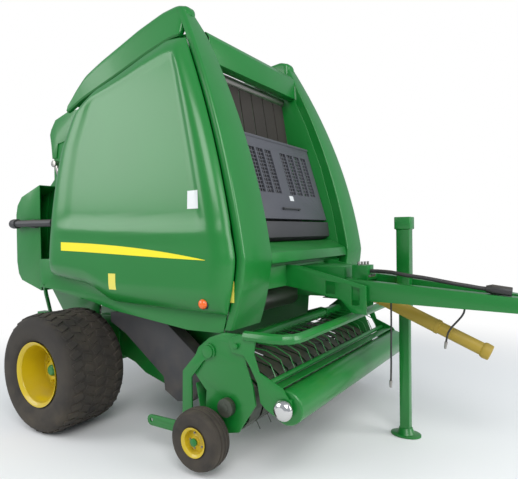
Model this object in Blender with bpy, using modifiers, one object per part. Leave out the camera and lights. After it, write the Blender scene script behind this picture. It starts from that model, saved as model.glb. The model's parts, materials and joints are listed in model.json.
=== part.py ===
"""Round baler: towed, with a lifting tailgate, gull-wing side doors and a wide pick-up.

Metres, +Z up, +X towards the drawbar, +Y to the machine's left. Lengths along X are measured
from the wheel axle and the empty "baler" moves the whole machine so that the world origin is
under the middle of its box. Pieces that touch keep GAP between them.
"""
import math

import bmesh
import bpy
from mathutils import Matrix, Vector

# ---------------------------------------------------------------- driving sizes
GAP = 0.0003                 # between pieces that touch
X_REAR = -0.93               # rear of the tailgate shield
X_HITCH = 3.25               # front of the hitch tongue
X_MID = (X_REAR + X_HITCH) / 2

CHAMBER_HALF = 0.608         # inside half width of the bale chamber
WALL = 0.010                 # chamber wall plate
WALL_OUT = CHAMBER_HALF + WALL
SHEET = 0.006                # folded sheet covers
BODY_HALF = 0.948            # half width at the fold of the front columns
FOLD_Z = 1.28                # height of that fold
FOLD_X = 1.636
LEAN = 0.060                 # how fast the sides lean in above the fold
COLUMN_FOOT_Z = 0.85
COLUMN_TOP_Z = 2.97
DOOR_BULGE = 0.095
DOOR_GAP = 0.034             # from the crease down to the door's hinge line
HINGE_ENDS = (0.15, 0.95)    # x of the two points that the hinge line is drawn through
HINGE_X = (0.33, 0.86)       # where the door's hinge pins sit
HINGE_PIN_R = 0.006

TYRE_R = 0.433               # 19.0/45-17
TYRE_W = 0.49
BEAD_R = 0.216
RIM_R = 0.2385
WHEEL_Y = 1.005
AXLE_Z = TYRE_R
AXLE_TUBE = 0.10
HUB_R = 0.075
SPINDLE_R = 0.036

GAUGE_R = 0.185              # 15x6.00-6
GAUGE_W = 0.150
GAUGE_BEAD_R = 0.078
GAUGE_HUB = (1.385, 0.212)   # x, z
GAUGE_Y = 1.062
GAUGE_AXLE_R = 0.014

GATE_PIVOT = (0.12, 2.33)    # x, z
SHIELD_HALF = 0.80
PIN_R = 0.024
BORE_CLEAR = 0.0008

NET_PIVOT = (1.262, 2.150)
NET_PIN_R = 0.008

CYLINDER_FOOT = (0.03, 0.98)
ROD_EYE = (-0.500, 2.050)
CYLINDER_Y = (0.672, 0.716)
BARREL_LENGTH = 0.84

PICKUP_PIVOT = (1.10, 0.62)
PICKUP_HALF = 0.955          # inside half width between the pick-up's side plates
PICKUP_PLATE = 0.012
REEL = (1.53, 0.405)
REEL_R = 0.115               # radius on which the tine bars turn
DRUM_R = 0.150               # radius of the stripper bands
TINE_TIP_R = 0.205
BAND_COUNT = 15
GUARD_PIVOT = (1.603, 0.775)
GUARD_PLATE_Y = PICKUP_HALF + PICKUP_PLATE + 0.006
COMB_TUBE = (1.80, 0.575)    # x, z of the tube that carries the windguard's wires
COMB_TUBE_R = 0.017
WIRE_COUNT = 16
WIRE_PITCH = 0.115
WIRE_R = 0.004
CROSS_TUBE = (1.385, 0.715)
CROSS_TUBE_R = 0.038
ROLLER = (1.920, 0.460)
ROLLER_R = 0.098
ROLLER_HALF = 0.960

BEAM_W = 0.080
BEAM_REAR = (2.02, 0.265, 1.055)
BEAM_FRONT = (3.08, 0.062, 0.985)
HEAD_Z = 0.938               # underside of the drawbar's head
PTO_PIVOT = (1.985, 0.0, 1.035)
PTO_DROP = math.radians(23.4)
PTO_LENGTH = 0.92
PTO_R = 0.045
JACK_X, JACK_Y = 2.262, 0.125
JACK_TUBE = 0.090
JACK_LEG = 0.066


# ---------------------------------------------------------------- shape of the body
def side_y(z):
    """Half width of the body at height z: upright below the fold, leaning in above it."""
    return BODY_HALF - LEAN * max(0.0, z - FOLD_Z) ** 2


def front_x(z):
    """How far forward the front columns reach at height z."""
    if z >= FOLD_Z:
        up = z - FOLD_Z
        return FOLD_X - 0.148 * up - 0.121 * up * up
    down = FOLD_Z - z
    return FOLD_X - 0.08 * down - 0.33 * down * down


def along(table, value):
    """Linear reading of a table of (key, result) rows in rising order of key."""
    if value <= table[0][0]:
        return table[0][1]
    for (k0, r0), (k1, r1) in zip(table, table[1:]):
        if value <= k1:
            return r0 + (r1 - r0) * (value - k0) / (k1 - k0)
    return table[-1][1]


# x, height of the crease between side door and hump
CREASE = ((-0.08, 2.40), (0.09, 2.481), (0.434, 2.592), (0.744, 2.700), (0.98, 2.765), (1.12, 2.755),
          (1.20, 2.725))
# x, height of the top of the hump
HUMP_TOP = ((-0.085, 2.44), (-0.04, 2.55), (0.086, 2.683), (0.25, 2.765), (0.432, 2.840), (0.62, 2.920),
            (0.843, 2.993),
            (0.983, 3.010), (1.035, 2.985))
# height, x of the door's rear edge
DOOR_REAR = ((1.10, -0.175), (1.318, -0.160), (1.593, -0.126), (1.863, -0.080), (2.090, -0.023),
             (2.362, 0.107), (2.48, 0.20))
# share of the door's length, height of its lower edge
DOOR_FOOT = ((0.0, 1.13), (0.28, 1.07), (0.42, 0.965), (1.0, 0.945))


def hinge_line(x):
    """A point on the door's hinge line, drawn straight between two points under the crease."""
    first, last = HINGE_ENDS
    ends = []
    for end in HINGE_ENDS:
        z = along(CREASE, end) - DOOR_GAP
        ends.append(Vector((end, side_y(z) + 0.004, z)))
    return ends[0].lerp(ends[1], (x - first) / (last - first))


# ---------------------------------------------------------------- scene and materials
for old in list(bpy.data.objects):
    bpy.data.objects.remove(old)
PARTS = bpy.data.collections.new("round_baler")
bpy.context.scene.collection.children.link(PARTS)

# name: colour, roughness, metallic
FINISHES = {
    "green_paint": ((0.014, 0.205, 0.032), 0.28, 0.0),
    "yellow_paint": ((0.83, 0.68, 0.008), 0.35, 0.0),
    "black_plastic": ((0.045, 0.045, 0.050), 0.50, 0.0),
    "grey_plastic": ((0.21, 0.21, 0.235), 0.50, 0.0),
    "tyre_rubber": ((0.028, 0.024, 0.024), 0.85, 0.0),
    "belt_rubber": ((0.060, 0.048, 0.040), 0.80, 0.0),
    "steel": ((0.42, 0.42, 0.43), 0.35, 1.0),
    "ochre_plastic": ((0.43, 0.31, 0.02), 0.55, 0.0),
    "lamp_orange": ((0.85, 0.12, 0.01), 0.25, 0.0),
    "lamp_red": ((0.55, 0.02, 0.01), 0.25, 0.0),
    "hose_rubber": ((0.020, 0.020, 0.022), 0.60, 0.0),
}


def material(name, finish):
    colour, rough, metal = FINISHES[finish]
    made = bpy.data.materials.new(name + "_" + finish)
    made.use_nodes = True
    shader = made.node_tree.nodes["Principled BSDF"]
    shader.inputs["Base Color"].default_value = (*colour, 1)
    shader.inputs["Roughness"].default_value = rough
    shader.inputs["Metallic"].default_value = metal
    return made


def pivot_empty(name, x, y, z, parent):
    """An empty at a place measured from the axle; a moving body's empty is on its joint's axis."""
    empty = bpy.data.objects.new(name, None)
    PARTS.objects.link(empty)
    empty.parent = parent
    here = Vector((x, y, z))
    empty["place"] = tuple(here)
    empty.location = here - Vector(parent["place"]) if parent else (-X_MID, 0, 0)
    return empty


BALER = pivot_empty("baler", 0, 0, 0, None)


# ---------------------------------------------------------------- raw shapes, measured from the axle
def raw(mesh):
    made = bpy.data.objects.new("shape", mesh)
    PARTS.objects.link(made)
    return made


def from_bmesh(bm):
    mesh = bpy.data.meshes.new("shape")
    bm.to_mesh(mesh)
    bm.free()
    return raw(mesh)


def baked(source):
    """The evaluated mesh of an object as a new object; the source is removed."""
    bpy.context.view_layer.update()
    graph = bpy.context.evaluated_depsgraph_get()
    mesh = bpy.data.meshes.new_from_object(source.evaluated_get(graph))
    mesh.transform(source.matrix_world)
    bpy.data.objects.remove(source)
    bm = bmesh.new()
    bm.from_mesh(mesh)
    bmesh.ops.remove_doubles(bm, verts=bm.verts, dist=1e-6)
    bm.to_mesh(mesh)
    bm.free()
    return raw(mesh)


def block(x, y, z):
    """A box from three (low, high) pairs."""
    bm = bmesh.new()
    bmesh.ops.create_cube(bm, size=1)
    size = [abs(high - low) for low, high in (x, y, z)]
    centre = [(low + high) / 2 for low, high in (x, y, z)]
    bmesh.ops.scale(bm, vec=size, verts=bm.verts)
    bmesh.ops.translate(bm, vec=centre, verts=bm.verts)
    return from_bmesh(bm)


def rod(start, end, radius, sides=16, end_radius=None):
    """A round bar between two points."""
    start, end = Vector(start), Vector(end)
    bm = bmesh.new()
    top = radius if end_radius is None else end_radius
    bmesh.ops.create_cone(bm, cap_ends=True, segments=sides, radius1=radius, radius2=top,
                          depth=(end - start).length)
    turn = (end - start).to_track_quat("Z", "Y").to_matrix().to_4x4()
    bmesh.ops.transform(bm, matrix=Matrix.Translation((start + end) / 2) @ turn, verts=bm.verts)
    return from_bmesh(bm)


def pipe(points, radius, rounding=2):
    """A round tube along a polyline."""
    curve = bpy.data.curves.new("route", "CURVE")
    curve.dimensions = "3D"
    curve.bevel_depth = radius
    curve.bevel_resolution = rounding
    curve.use_fill_caps = True
    spline = curve.splines.new("POLY")
    spline.points.add(len(points) - 1)
    for point, place in zip(spline.points, points):
        point.co = (*place, 1)
    return baked(raw(curve))


TURNS = {
    "X": Matrix(((0, 0, 1, 0), (1, 0, 0, 0), (0, 1, 0, 0), (0, 0, 0, 1))),
    "Y": Matrix(((1, 0, 0, 0), (0, 0, -1, 0), (0, 1, 0, 0), (0, 0, 0, 1))),
    "Z": Matrix.Identity(4),
}


def plate(axis, outline, low, high, holes=()):
    """A flat outline with a thickness along one axis. The outline's columns are (y, z) for X,
    (x, z) for Y and (x, y) for Z."""
    curve = bpy.data.curves.new("outline", "CURVE")
    curve.dimensions = "2D"
    curve.fill_mode = "BOTH"
    curve.extrude = abs(high - low) / 2
    for loop in (outline, *holes):
        spline = curve.splines.new("POLY")
        spline.points.add(len(loop) - 1)
        for point, (a, b) in zip(spline.points, loop):
            point.co = (a, b, 0, 1)
        spline.use_cyclic_u = True
    made = raw(curve)
    shift = {"X": (1, 0, 0), "Y": (0, 1, 0), "Z": (0, 0, 1)}[axis]
    made.matrix_world = Matrix.Translation(Vector(shift) * (low + high) / 2) @ TURNS[axis]
    return baked(made)


def arc(centre, radius, start, stop, count):
    """Points on an arc in a plane, angles in degrees."""
    steps = [math.radians(start + (stop - start) * i / count) for i in range(count + 1)]
    return [(centre[0] + radius * math.cos(a), centre[1] + radius * math.sin(a)) for a in steps]


def circle(centre, radius, count=16):
    return arc(centre, radius, 0, 360, count)[:-1]


def turned(profile, x, z, steps=32):
    """A ring turned about the line y through (x, z). The profile is a closed loop of (radius, y)."""
    bm = bmesh.new()
    corners = [bm.verts.new((r, 0, y)) for r, y in profile]
    for a, b in zip(corners, corners[1:] + corners[:1]):
        bm.edges.new((a, b))
    made = from_bmesh(bm)
    screw = made.modifiers.new("turn", "SCREW")
    screw.steps = screw.render_steps = steps
    screw.use_merge_vertices = True
    screw.merge_threshold = 0.0001
    made.matrix_world = Matrix.Translation((x, 0, z)) @ TURNS["Y"] @ Matrix.Scale(-1, 4, (0, 0, 1))
    made = baked(made)
    facing_out(made)
    return made


def facing_out(made):
    bm = bmesh.new()
    bm.from_mesh(made.data)
    bmesh.ops.recalc_face_normals(bm, faces=bm.faces)
    bm.to_mesh(made.data)
    bm.free()


def skin(rows, thickness):
    """A sheet lofted through rows of points, given a thickness inwards from its outer face."""
    bm = bmesh.new()
    grid = [[bm.verts.new(point) for point in row] for row in rows]
    for upper, lower in zip(grid, grid[1:]):
        for i in range(len(upper) - 1):
            bm.faces.new((upper[i], upper[i + 1], lower[i + 1], lower[i]))
    made = from_bmesh(bm)
    solid = made.modifiers.new("thickness", "SOLIDIFY")
    solid.thickness = thickness
    solid.offset = 0
    made = baked(made)
    facing_out(made)
    return made


def boolean(target, others, operation):
    for other in others:
        change = target.modifiers.new("boolean", "BOOLEAN")
        change.operation = operation
        change.object = other
    made = baked(target)
    for other in others:
        bpy.data.objects.remove(other)
    return made


def union(*pieces):
    return boolean(pieces[0], pieces[1:], "UNION")


def minus(target, *cutters):
    return boolean(target, cutters, "DIFFERENCE")


def mirrored(made, side):
    """A shape drawn on the left (+Y), turned over for side -1."""
    if side < 0:
        made.data.transform(Matrix.Scale(-1, 4, (0, 1, 0)))
        made.data.flip_normals()
    return made


def node(name, shape, finish, body=None, smooth=35):
    """Names a finished shape, puts its origin on its body's empty and paints it."""
    body = body or BALER
    shape.name = shape.data.name = name
    shape.data.materials.clear()
    shape.data.materials.append(material(name, finish))
    shape.data.transform(Matrix.Translation(-Vector(body["place"])))
    shape.parent = body
    shape.data.shade_smooth()
    shape.data.set_sharp_from_angle(angle=math.radians(smooth))
    return shape


def word(side):
    return "right" if side < 0 else "left"


def span(low, high):
    return (low, high)


# ---------------------------------------------------------------- chamber walls and frame
def chamber_wall(side):
    column_line = [(front_x(z) - 0.075, z) for z in (1.28, 1.6, 2.0, 2.4, 2.75)]
    outline = [(-0.045, 0.62), (0.12, 0.50), (0.36, 0.43), (0.47, 0.365), (0.80, 0.275), (1.00, 0.275),
               (1.16, 0.42),
               (1.24, 0.62), (1.26, 0.86), (1.47, 0.95), *column_line, (0.95, 2.74), (0.45, 2.56),
               (0.25, 2.36),
               (0.22, 2.22), (0.069, 2.19)]
    wall = plate("Y", outline, CHAMBER_HALF, WALL_OUT)
    pin = rod((PICKUP_PIVOT[0], WALL_OUT - WALL / 2, PICKUP_PIVOT[1]),
              (PICKUP_PIVOT[0], 0.668, PICKUP_PIVOT[1]), PIN_R)
    stub = rod((NET_PIVOT[0], 0.565, NET_PIVOT[1]), (NET_PIVOT[0], CHAMBER_HALF + 0.002, NET_PIVOT[1]),
               NET_PIN_R, 12)
    node("chamber_wall_" + word(side), mirrored(union(wall, pin, stub), side), "green_paint")


def side_frame(side):
    """A welded ring on the chamber wall. Its outriggers carry the skirt and the hump, and it holds
    the gate cylinder's foot pin and the strut of the marker lamp."""
    outer = [(-0.04, 0.93), (0.12, 0.93), (1.30, 0.90), (1.40, 1.28), (1.10, 2.45), (0.95, 2.62),
             (0.30, 2.42), (0.10, 2.10)]
    inner = [(0.05, 1.03), (1.24, 0.96), (1.33, 1.28), (1.04, 2.41), (0.93, 2.55), (0.34, 2.36),
             (0.16, 2.08)]
    pieces = [plate("Y", outer, WALL_OUT + GAP, 0.652, [inner])]
    for x, low in ((0.14, 0.955), (1.16, 0.91)):
        pieces.append(block(span(x - 0.02, x + 0.02), span(0.64, BODY_HALF), span(low, low + 0.04)))
    run = (hinge_line(1) - hinge_line(0)).normalized()
    for x, foot in zip(HINGE_X, (2.36, 2.50)):
        top = along(CREASE, x - 0.02) - 0.016 - SHEET / 2 - GAP
        at = hinge_line(x)
        pieces.append(block(span(x - 0.02, x + 0.02), span(0.64, at.y - 0.001), span(foot, top)))
        pieces.append(rod(at - run * 0.018, at + run * 0.046, HINGE_PIN_R, 12))
    skirt = [(-0.36, 1.245), (-0.13, 1.250), (-0.12, 1.16), (0.34, 1.10), (0.54, 0.99), (1.515, 0.965),
             (1.480, 0.83), (1.20, 0.825),
             (0.53, 0.895), (0.20, 0.957), (-0.25, 1.015), (-0.36, 1.02)]
    pieces.append(plate("Y", skirt, BODY_HALF - 0.004, BODY_HALF + 0.002))
    x, z = CYLINDER_FOOT
    pieces.append(rod((x, 0.640, z), (x, CYLINDER_Y[1] + 0.006, z), 0.018))
    strut = [(-0.31, BODY_HALF - 0.002, 1.05), (-0.36, 0.90, 0.96), (-0.44, 0.80, 0.75),
             (-0.50, 0.79, 0.745)]
    pieces.append(pipe(strut, 0.016, 2))
    pieces.append(block(span(-0.60, -0.49), span(0.755, 0.825), span(0.705, 0.785)))
    node("side_frame_" + word(side), mirrored(union(*pieces), side), "green_paint")


def axle():
    reach = WHEEL_Y + 0.100
    beam = block(span(-AXLE_TUBE / 2, AXLE_TUBE / 2), span(-0.72, 0.72), span(AXLE_Z - 0.05, AXLE_Z + 0.05))
    pieces = []
    for side in (-1, 1):
        lug = [(-0.07, 0.40), (0.20, 0.40), (0.20, 0.66), (0.10, 0.78), (-0.035, 0.78)]
        lug = plate("Y", lug, side * (WALL_OUT + GAP), side * (WALL_OUT + 0.016))
        spindle = rod((0, side * 0.70, AXLE_Z), (0, side * reach, AXLE_Z), SPINDLE_R)
        pieces += [lug, spindle]
    node("axle", union(beam, *pieces), "green_paint")


# ---------------------------------------------------------------- front columns, humps, doors and skirts
def column(side):
    heights = [COLUMN_FOOT_Z, 0.95, 1.10, 1.24, FOLD_Z, 1.45, 1.65, 1.85, 2.05, 2.25, 2.45, 2.65, 2.82]
    rows = []
    for z in heights:
        x, y = front_x(z), side_y(z)
        rows.append([(x - 0.085, WALL_OUT + GAP + SHEET / 2, z), (x - 0.010, WALL_OUT + GAP + SHEET / 2, z),
                     (x, WALL_OUT + 0.012, z), (x, y - 0.018, z), (x - 0.012, y - SHEET / 2, z),
                     (x - 0.050, y - SHEET / 2, z)])
    top_x, top_y = front_x(COLUMN_TOP_Z), side_y(COLUMN_TOP_Z)
    rows.append([(top_x - 0.075, 0.668, COLUMN_TOP_Z), (top_x - 0.010, 0.668, COLUMN_TOP_Z),
                 (top_x, 0.676, COLUMN_TOP_Z),
                 (top_x, top_y - 0.018, COLUMN_TOP_Z), (top_x - 0.012, top_y - SHEET / 2, COLUMN_TOP_Z),
                 (top_x - 0.050, top_y - SHEET / 2, COLUMN_TOP_Z)])
    shell = skin(rows, SHEET)
    foot_x = front_x(COLUMN_FOOT_Z)
    foot = block(span(foot_x - 0.16, foot_x - 0.004), span(WALL_OUT + GAP, BODY_HALF - 0.0045),
                 span(COLUMN_FOOT_Z - 0.004, COLUMN_FOOT_Z + 0.006))
    tie = block(span(1.40, 1.60), span(WALL_OUT + GAP, BODY_HALF - 0.012), span(1.06, 1.16))
    tie_in = block(span(1.585, 1.618), span(0.62, 0.93), span(1.06, 1.16))
    node("front_column_" + word(side), mirrored(union(shell, foot, tie, tie_in), side), "green_paint")


def hump(side):
    stations = [-0.085, -0.04, 0.086, 0.25, 0.432, 0.62, 0.843, 0.983]
    rows = []
    for x in stations:
        low, top = along(CREASE, x), along(HUMP_TOP, x)
        rows.append([(x, 0.70, low - 0.016), (x, side_y(low) - 0.012, low - 0.016),
                     (x, side_y(low), low - 0.003),
                     (x, side_y((low + top) / 2) + 0.004, (low + top) / 2),
                     (x, side_y(top) - 0.02, top - 0.022),
                     (x, side_y(top) - 0.06, top), (x, 0.665, top), (x, 0.635, top - 0.03),
                     (x, 0.635, top - 0.10 * min(1, (top - low) / 0.15))])
    shell = skin(rows, SHEET)
    node("side_hump_" + word(side), mirrored(shell, side), "green_paint")


def door(side, body):
    """A moulded shell, deepest along the middle, whose rim lies on the body's outline."""
    rows = []
    shares = [0, 0.03, 0.10, 0.25, 0.42, 0.60, 0.78, 0.90, 0.97, 1.0]
    for v in (0, 0.03, 0.12, 0.3, 0.5, 0.7, 0.86, 0.96, 1.0):
        row = []
        for u in shares:
            foot = along(DOOR_FOOT, u)
            x_top = 0.17 + u * 0.95
            crest = along(CREASE, x_top) - DOOR_GAP - (0.10 * (0.12 - u) / 0.12 if u < 0.12 else 0)
            z = foot + (crest - foot) * v
            rear = along(DOOR_REAR, z)
            x = rear + (front_x(z) - 0.055 - rear) * u
            rim = min(1, u / 0.10) ** 0.5 * min(1, (1 - u) / 0.10) ** 0.5 * min(1,
                    v / 0.12) ** 0.5 * min(1, (1 - v) / 0.14) ** 0.5
            row.append((x, side_y(z) + 0.012 + DOOR_BULGE * rim, z))
        rows.append(row)
    pieces = [skin(rows, 0.006)]
    run = (hinge_line(1) - hinge_line(0)).normalized()
    for x in HINGE_X:
        at = hinge_line(x + 0.032)
        lug = block(span(at.x - 0.010, at.x + 0.010), span(at.y - 0.010, at.y + 0.016),
                    span(at.z - 0.030, at.z + 0.010))
        pieces.append(minus(lug, rod(at - run * 0.02, at + run * 0.02, HINGE_PIN_R + 0.0006, 12)))
    node("side_door_" + word(side), mirrored(union(*pieces), side), "green_paint", body)


# ---------------------------------------------------------------- front opening
def cross_panel():
    """The folded panel over the opening, between the two humps."""
    profile = [(1.03, 2.835), (1.105, 2.838), (1.135, 2.80), (1.145, 2.633), (1.07, 2.625)]
    half = CHAMBER_HALF - GAP
    rows = [[(x, y, z) for x, z in profile] for y in (-half, half)]
    node("cross_panel", skin(rows, SHEET), "green_paint")


def shelf():
    """The sloping step under the net cover with its folded front edge."""
    profile = [(1.480, 1.362), (1.615, 1.300), (1.622, 1.235)]
    rows = [[(x, y, z) for x, z in profile] for y in (-0.606, 0.606)]
    sheet = skin(rows, SHEET)
    ends = []
    for side in (-1, 1):
        ends.append(plate("Y", [(1.485, 1.355), (1.54, 1.33), (1.54, 1.20), (1.485, 1.20)], side * 0.596,
                          side * (CHAMBER_HALF - GAP)))
    beam = block(span(1.46, 1.56), span(-(CHAMBER_HALF - GAP), CHAMBER_HALF - GAP), span(1.06, 1.205))
    web = block(span(1.53, 1.54), span(-0.60, 0.60), span(1.20, 1.335))
    node("front_crossmember", union(beam, sheet, web, *ends, drawbar_bracket(-1), drawbar_bracket(1)),
         "green_paint")


def net_cover(body):
    top, bottom = (1.267, 2.146), (1.452, 1.535)
    slope = Vector((bottom[0] - top[0], 0, bottom[1] - top[1])).normalized()
    out = Vector((-slope.z, 0, slope.x))
    corner = Vector((top[0], 0, top[1]))

    def at(down, proud):
        spot = corner + slope * down - out * (0 - proud)
        return (spot.x, spot.z)
    length = math.dist(top, bottom)
    skin_plate = plate("Y", [at(0, 0), at(length, 0), at(length, -0.02), at(0, -0.02)], -0.590, 0.590)
    cutters = []
    for centre in (-0.285, 0.285):
        for column_index in range(4):
            y = centre + (column_index - 1.5) * 0.115
            window = [at(0.085, 0.02), at(0.435, 0.02), at(0.435, -0.04), at(0.085, -0.04)]
            cutters.append(plate("Y", window, y - 0.045, y + 0.045))
    cover = minus(skin_plate, *cutters)
    barrel = rod((NET_PIVOT[0], -0.590, NET_PIVOT[1]), (NET_PIVOT[0], 0.590, NET_PIVOT[1]), 0.014, 12)
    bores = [rod((NET_PIVOT[0], side * 0.560, NET_PIVOT[1]), (NET_PIVOT[0], side * 0.600, NET_PIVOT[1]),
                 NET_PIN_R + 0.0006, 12)
             for side in (-1, 1)]
    node("net_cover", minus(union(cover, barrel), *bores), "grey_plastic", body)


def front_belts():
    """The run of belts seen above the net cover."""
    upper, lower = (1.00, 2.60), (1.15, 1.62)
    strip = [upper, (upper[0] + 0.012, upper[1]), (lower[0] + 0.012, lower[1]), lower]
    node("front_belts", plate("Y", strip, -(CHAMBER_HALF - GAP), CHAMBER_HALF - GAP), "belt_rubber")


def starter_roller():
    x, z = 1.06, 0.88
    node("starter_roller", rod((x, -(CHAMBER_HALF - GAP), z), (x, CHAMBER_HALF - GAP, z), 0.100, 24),
         "steel")


def net_tray():
    """The dark trough under the net cover that holds the net roll."""
    profile = [(1.455, 1.515), (1.468, 1.40), (1.40, 1.37), (1.22, 1.42), (1.19, 1.60)]
    rows = [[(x, y, z) for x, z in profile] for y in (-(CHAMBER_HALF - GAP), CHAMBER_HALF - GAP)]
    node("net_tray", skin(rows, SHEET), "black_plastic")


# ---------------------------------------------------------------- tailgate
def gate_hinge():
    """The cross shaft that carries the tailgate, in two brackets on the chamber walls."""
    x, z = GATE_PIVOT
    shaft = rod((x, -0.660, z), (x, 0.660, z), PIN_R)
    brackets = []
    for side in (-1, 1):
        outline = [(x + 0.05, z + 0.05), (x - 0.05, z + 0.05), (x - 0.055, z - 0.05), (0.085, 2.15),
                   (0.095, 2.00), (0.36, 2.00),
                   (0.36, 2.20)]
        brackets.append(plate("Y", outline, side * (0.652 + GAP), side * 0.667))
    return union(shaft, *brackets)


def gate_side(side, body):
    x, z = GATE_PIVOT
    outline = [(0.035, 2.26), (-0.068, 0.66), (-0.25, 0.60), (-0.55, 0.78), (-0.76, 1.03), (-0.85, 1.25),
               (-0.85, 1.60), (-0.78, 1.80),
               (-0.63, 1.93), (-0.63, 2.32), (-0.56, 2.415), (-0.42, 2.47), (-0.10, 2.43), (0.06, 2.40),
               *arc(GATE_PIVOT, 0.062, 75, -60, 6)]
    wall = plate("Y", outline, CHAMBER_HALF, WALL_OUT, [circle(GATE_PIVOT, PIN_R + BORE_CLEAR, 16)])
    post = rod((ROD_EYE[0], WALL_OUT - WALL / 2, ROD_EYE[1]),
               (ROD_EYE[0], CYLINDER_Y[0] - GAP, ROD_EYE[1]), 0.026)
    node("gate_side_" + word(side), mirrored(union(wall, post), side), "green_paint", body)


def gate_shield(body):
    """The wide cover round the gate's lower rear. Beside the gate's walls it folds forwards."""
    back = [(-0.84, 1.772), (-0.905, 1.70), (-0.927, 1.62), (-0.927, 1.20), (-0.905, 1.10), (-0.86, 1.045)]
    profile = [(-0.575, 1.862), *back, (-0.575, 0.965)]
    half, inner = SHIELD_HALF, WALL_OUT + GAP
    pieces = [skin([[(x, y, z) for x, z in back] for y in (-half, half)], SHEET)]
    for side in (-1, 1):
        pieces.append(skin([[(x, side * y, z) for x, z in profile] for y in (inner, half)], SHEET))
        pieces.append(plate("Y", profile, side * (half - SHEET), side * half))
        rib = [(-0.70, 1.815), (-0.84, 1.770), (-0.924, 1.62), (-0.924, 1.20), (-0.86, 1.048),
               (-0.72, 1.01), (-0.74, 1.25), (-0.74, 1.62)]
        pieces.append(plate("Y", rib, side * inner, side * (inner + 0.008)))
    node("gate_shield", union(*pieces), "green_paint", body)


def gate_hood(body):
    """The cover over the gate's upper rear roller with the band under it."""
    profile = [(-0.10, 2.500), (-0.41, 2.497), (-0.59, 2.447), (-0.650, 2.372), (-0.668, 2.33),
               (-0.652, 2.235), (-0.640, 2.115)]
    half = WALL_OUT + GAP + SHEET
    rows = [[(x, y, z) for x, z in profile] for y in (-half, half)]
    sheet = skin(rows, SHEET)
    sides = []
    for side in (-1, 1):
        cheek = profile + [(-0.585, 2.115), (-0.56, 2.24), (-0.10, 2.30)]
        sides.append(plate("Y", cheek, side * (WALL_OUT + GAP), side * half))
    node("gate_hood", union(sheet, *sides), "green_paint", body)


def gate_belts(body):
    """Belts over the gate's rear rollers, as one closed-up strip seen from outside."""
    profile = [(-0.585, 2.30), (-0.612, 2.22), (-0.612, 1.94), (-0.80, 1.68), (-0.835, 1.45),
               (-0.80, 1.15), (-0.62, 0.88), (-0.34, 0.66), (-0.12, 0.69)]
    rows = [[(x, y, z) for x, z in profile] for y in (-(CHAMBER_HALF - GAP), CHAMBER_HALF - GAP)]
    node("gate_belts", skin(rows, 0.012), "belt_rubber", body)
    inner = CHAMBER_HALF - GAP
    node("gate_lower_roller", rod((-0.14, -inner, 0.755), (-0.14, inner, 0.755), 0.055, 20), "steel", body)


def gate_cylinder(side, barrel_body, rod_body):
    foot, eye = Vector((CYLINDER_FOOT[0], 0, CYLINDER_FOOT[1])), Vector((ROD_EYE[0], 0, ROD_EYE[1]))
    line = (eye - foot).normalized()
    middle = Vector((0, sum(CYLINDER_Y) / 2, 0))
    ring = plate("Y", circle(CYLINDER_FOOT, 0.034, 16), *CYLINDER_Y, [circle(CYLINDER_FOOT, 0.0185, 16)])
    tube = rod(foot + middle + line * 0.030, foot + middle + line * BARREL_LENGTH, 0.032, 16)
    bore = rod(foot + middle + line * 0.080, foot + middle + line * (BARREL_LENGTH + 0.01), 0.0185, 16)
    node("cylinder_barrel_" + word(side), mirrored(minus(union(ring, tube), bore), side), "green_paint",
         barrel_body)
    eye_ring = plate("Y", circle(ROD_EYE, 0.030, 16), *CYLINDER_Y)
    bar = rod(foot + middle + line * 0.115, eye + middle - line * 0.025, 0.0175, 16)
    node("cylinder_rod_" + word(side), mirrored(union(eye_ring, bar), side), "steel", rod_body)


def rear_lamp(side, body):
    """A black arm with a round rear lamp, bolted to the shield's cheek."""
    arm = pipe([(-0.33, 0.848, 1.535), (-0.84, 0.848, 1.538)], 0.030, 2)
    foot = block(span(-0.66, -0.60), span(SHIELD_HALF + GAP, 0.835), span(1.50, 1.57))
    cup = rod((-0.83, 0.848, 1.538), (-0.885, 0.848, 1.538), 0.042, 20)
    lens = rod((-0.880, 0.848, 1.538), (-0.905, 0.848, 1.538), 0.038, 20)
    node("rear_lamp_" + word(side), mirrored(union(arm, foot, cup, lens), side), "black_plastic", body)


# ---------------------------------------------------------------- wheels
def wheel(side, body):
    outer = TYRE_W / 2
    section = [(BEAD_R, -0.195), (0.30, -0.243), (0.36, -outer), (0.415, -0.225), (TYRE_R, -0.150),
               (TYRE_R, 0.150), (0.415, 0.225),
               (0.36, outer), (0.30, 0.243), (BEAD_R, 0.195), (BEAD_R, 0.160), (0.36, 0.212),
               (0.395, 0.15), (0.395, -0.15), (0.36, -0.212),
               (BEAD_R, -0.160)]
    tyre = turned([(r, side * WHEEL_Y + side * y) for r, y in section], 0, AXLE_Z, 28)
    node("tyre_" + word(side), tyre, "tyre_rubber", body)
    barrel = BEAD_R - GAP
    disc = 0.055
    bore = SPINDLE_R + BORE_CLEAR
    lip = RIM_R - 0.004
    section = [(barrel, -0.205), (lip, -0.2265), (lip, -0.232), (barrel - 0.010, -0.212),
               (barrel - 0.010, disc - 0.05), (HUB_R, disc + 0.008),
               (HUB_R, -0.020), (bore, -0.020), (bore, 0.092), (HUB_R, 0.092), (HUB_R, disc + 0.022),
               (barrel - 0.010, disc - 0.034),
               (barrel - 0.010, 0.212), (lip, 0.232), (lip, 0.2265), (barrel, 0.205)]
    rim = turned([(r, side * WHEEL_Y + side * y) for r, y in section], 0, AXLE_Z, 28)
    node("rim_" + word(side), rim, "yellow_paint", body)


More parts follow.
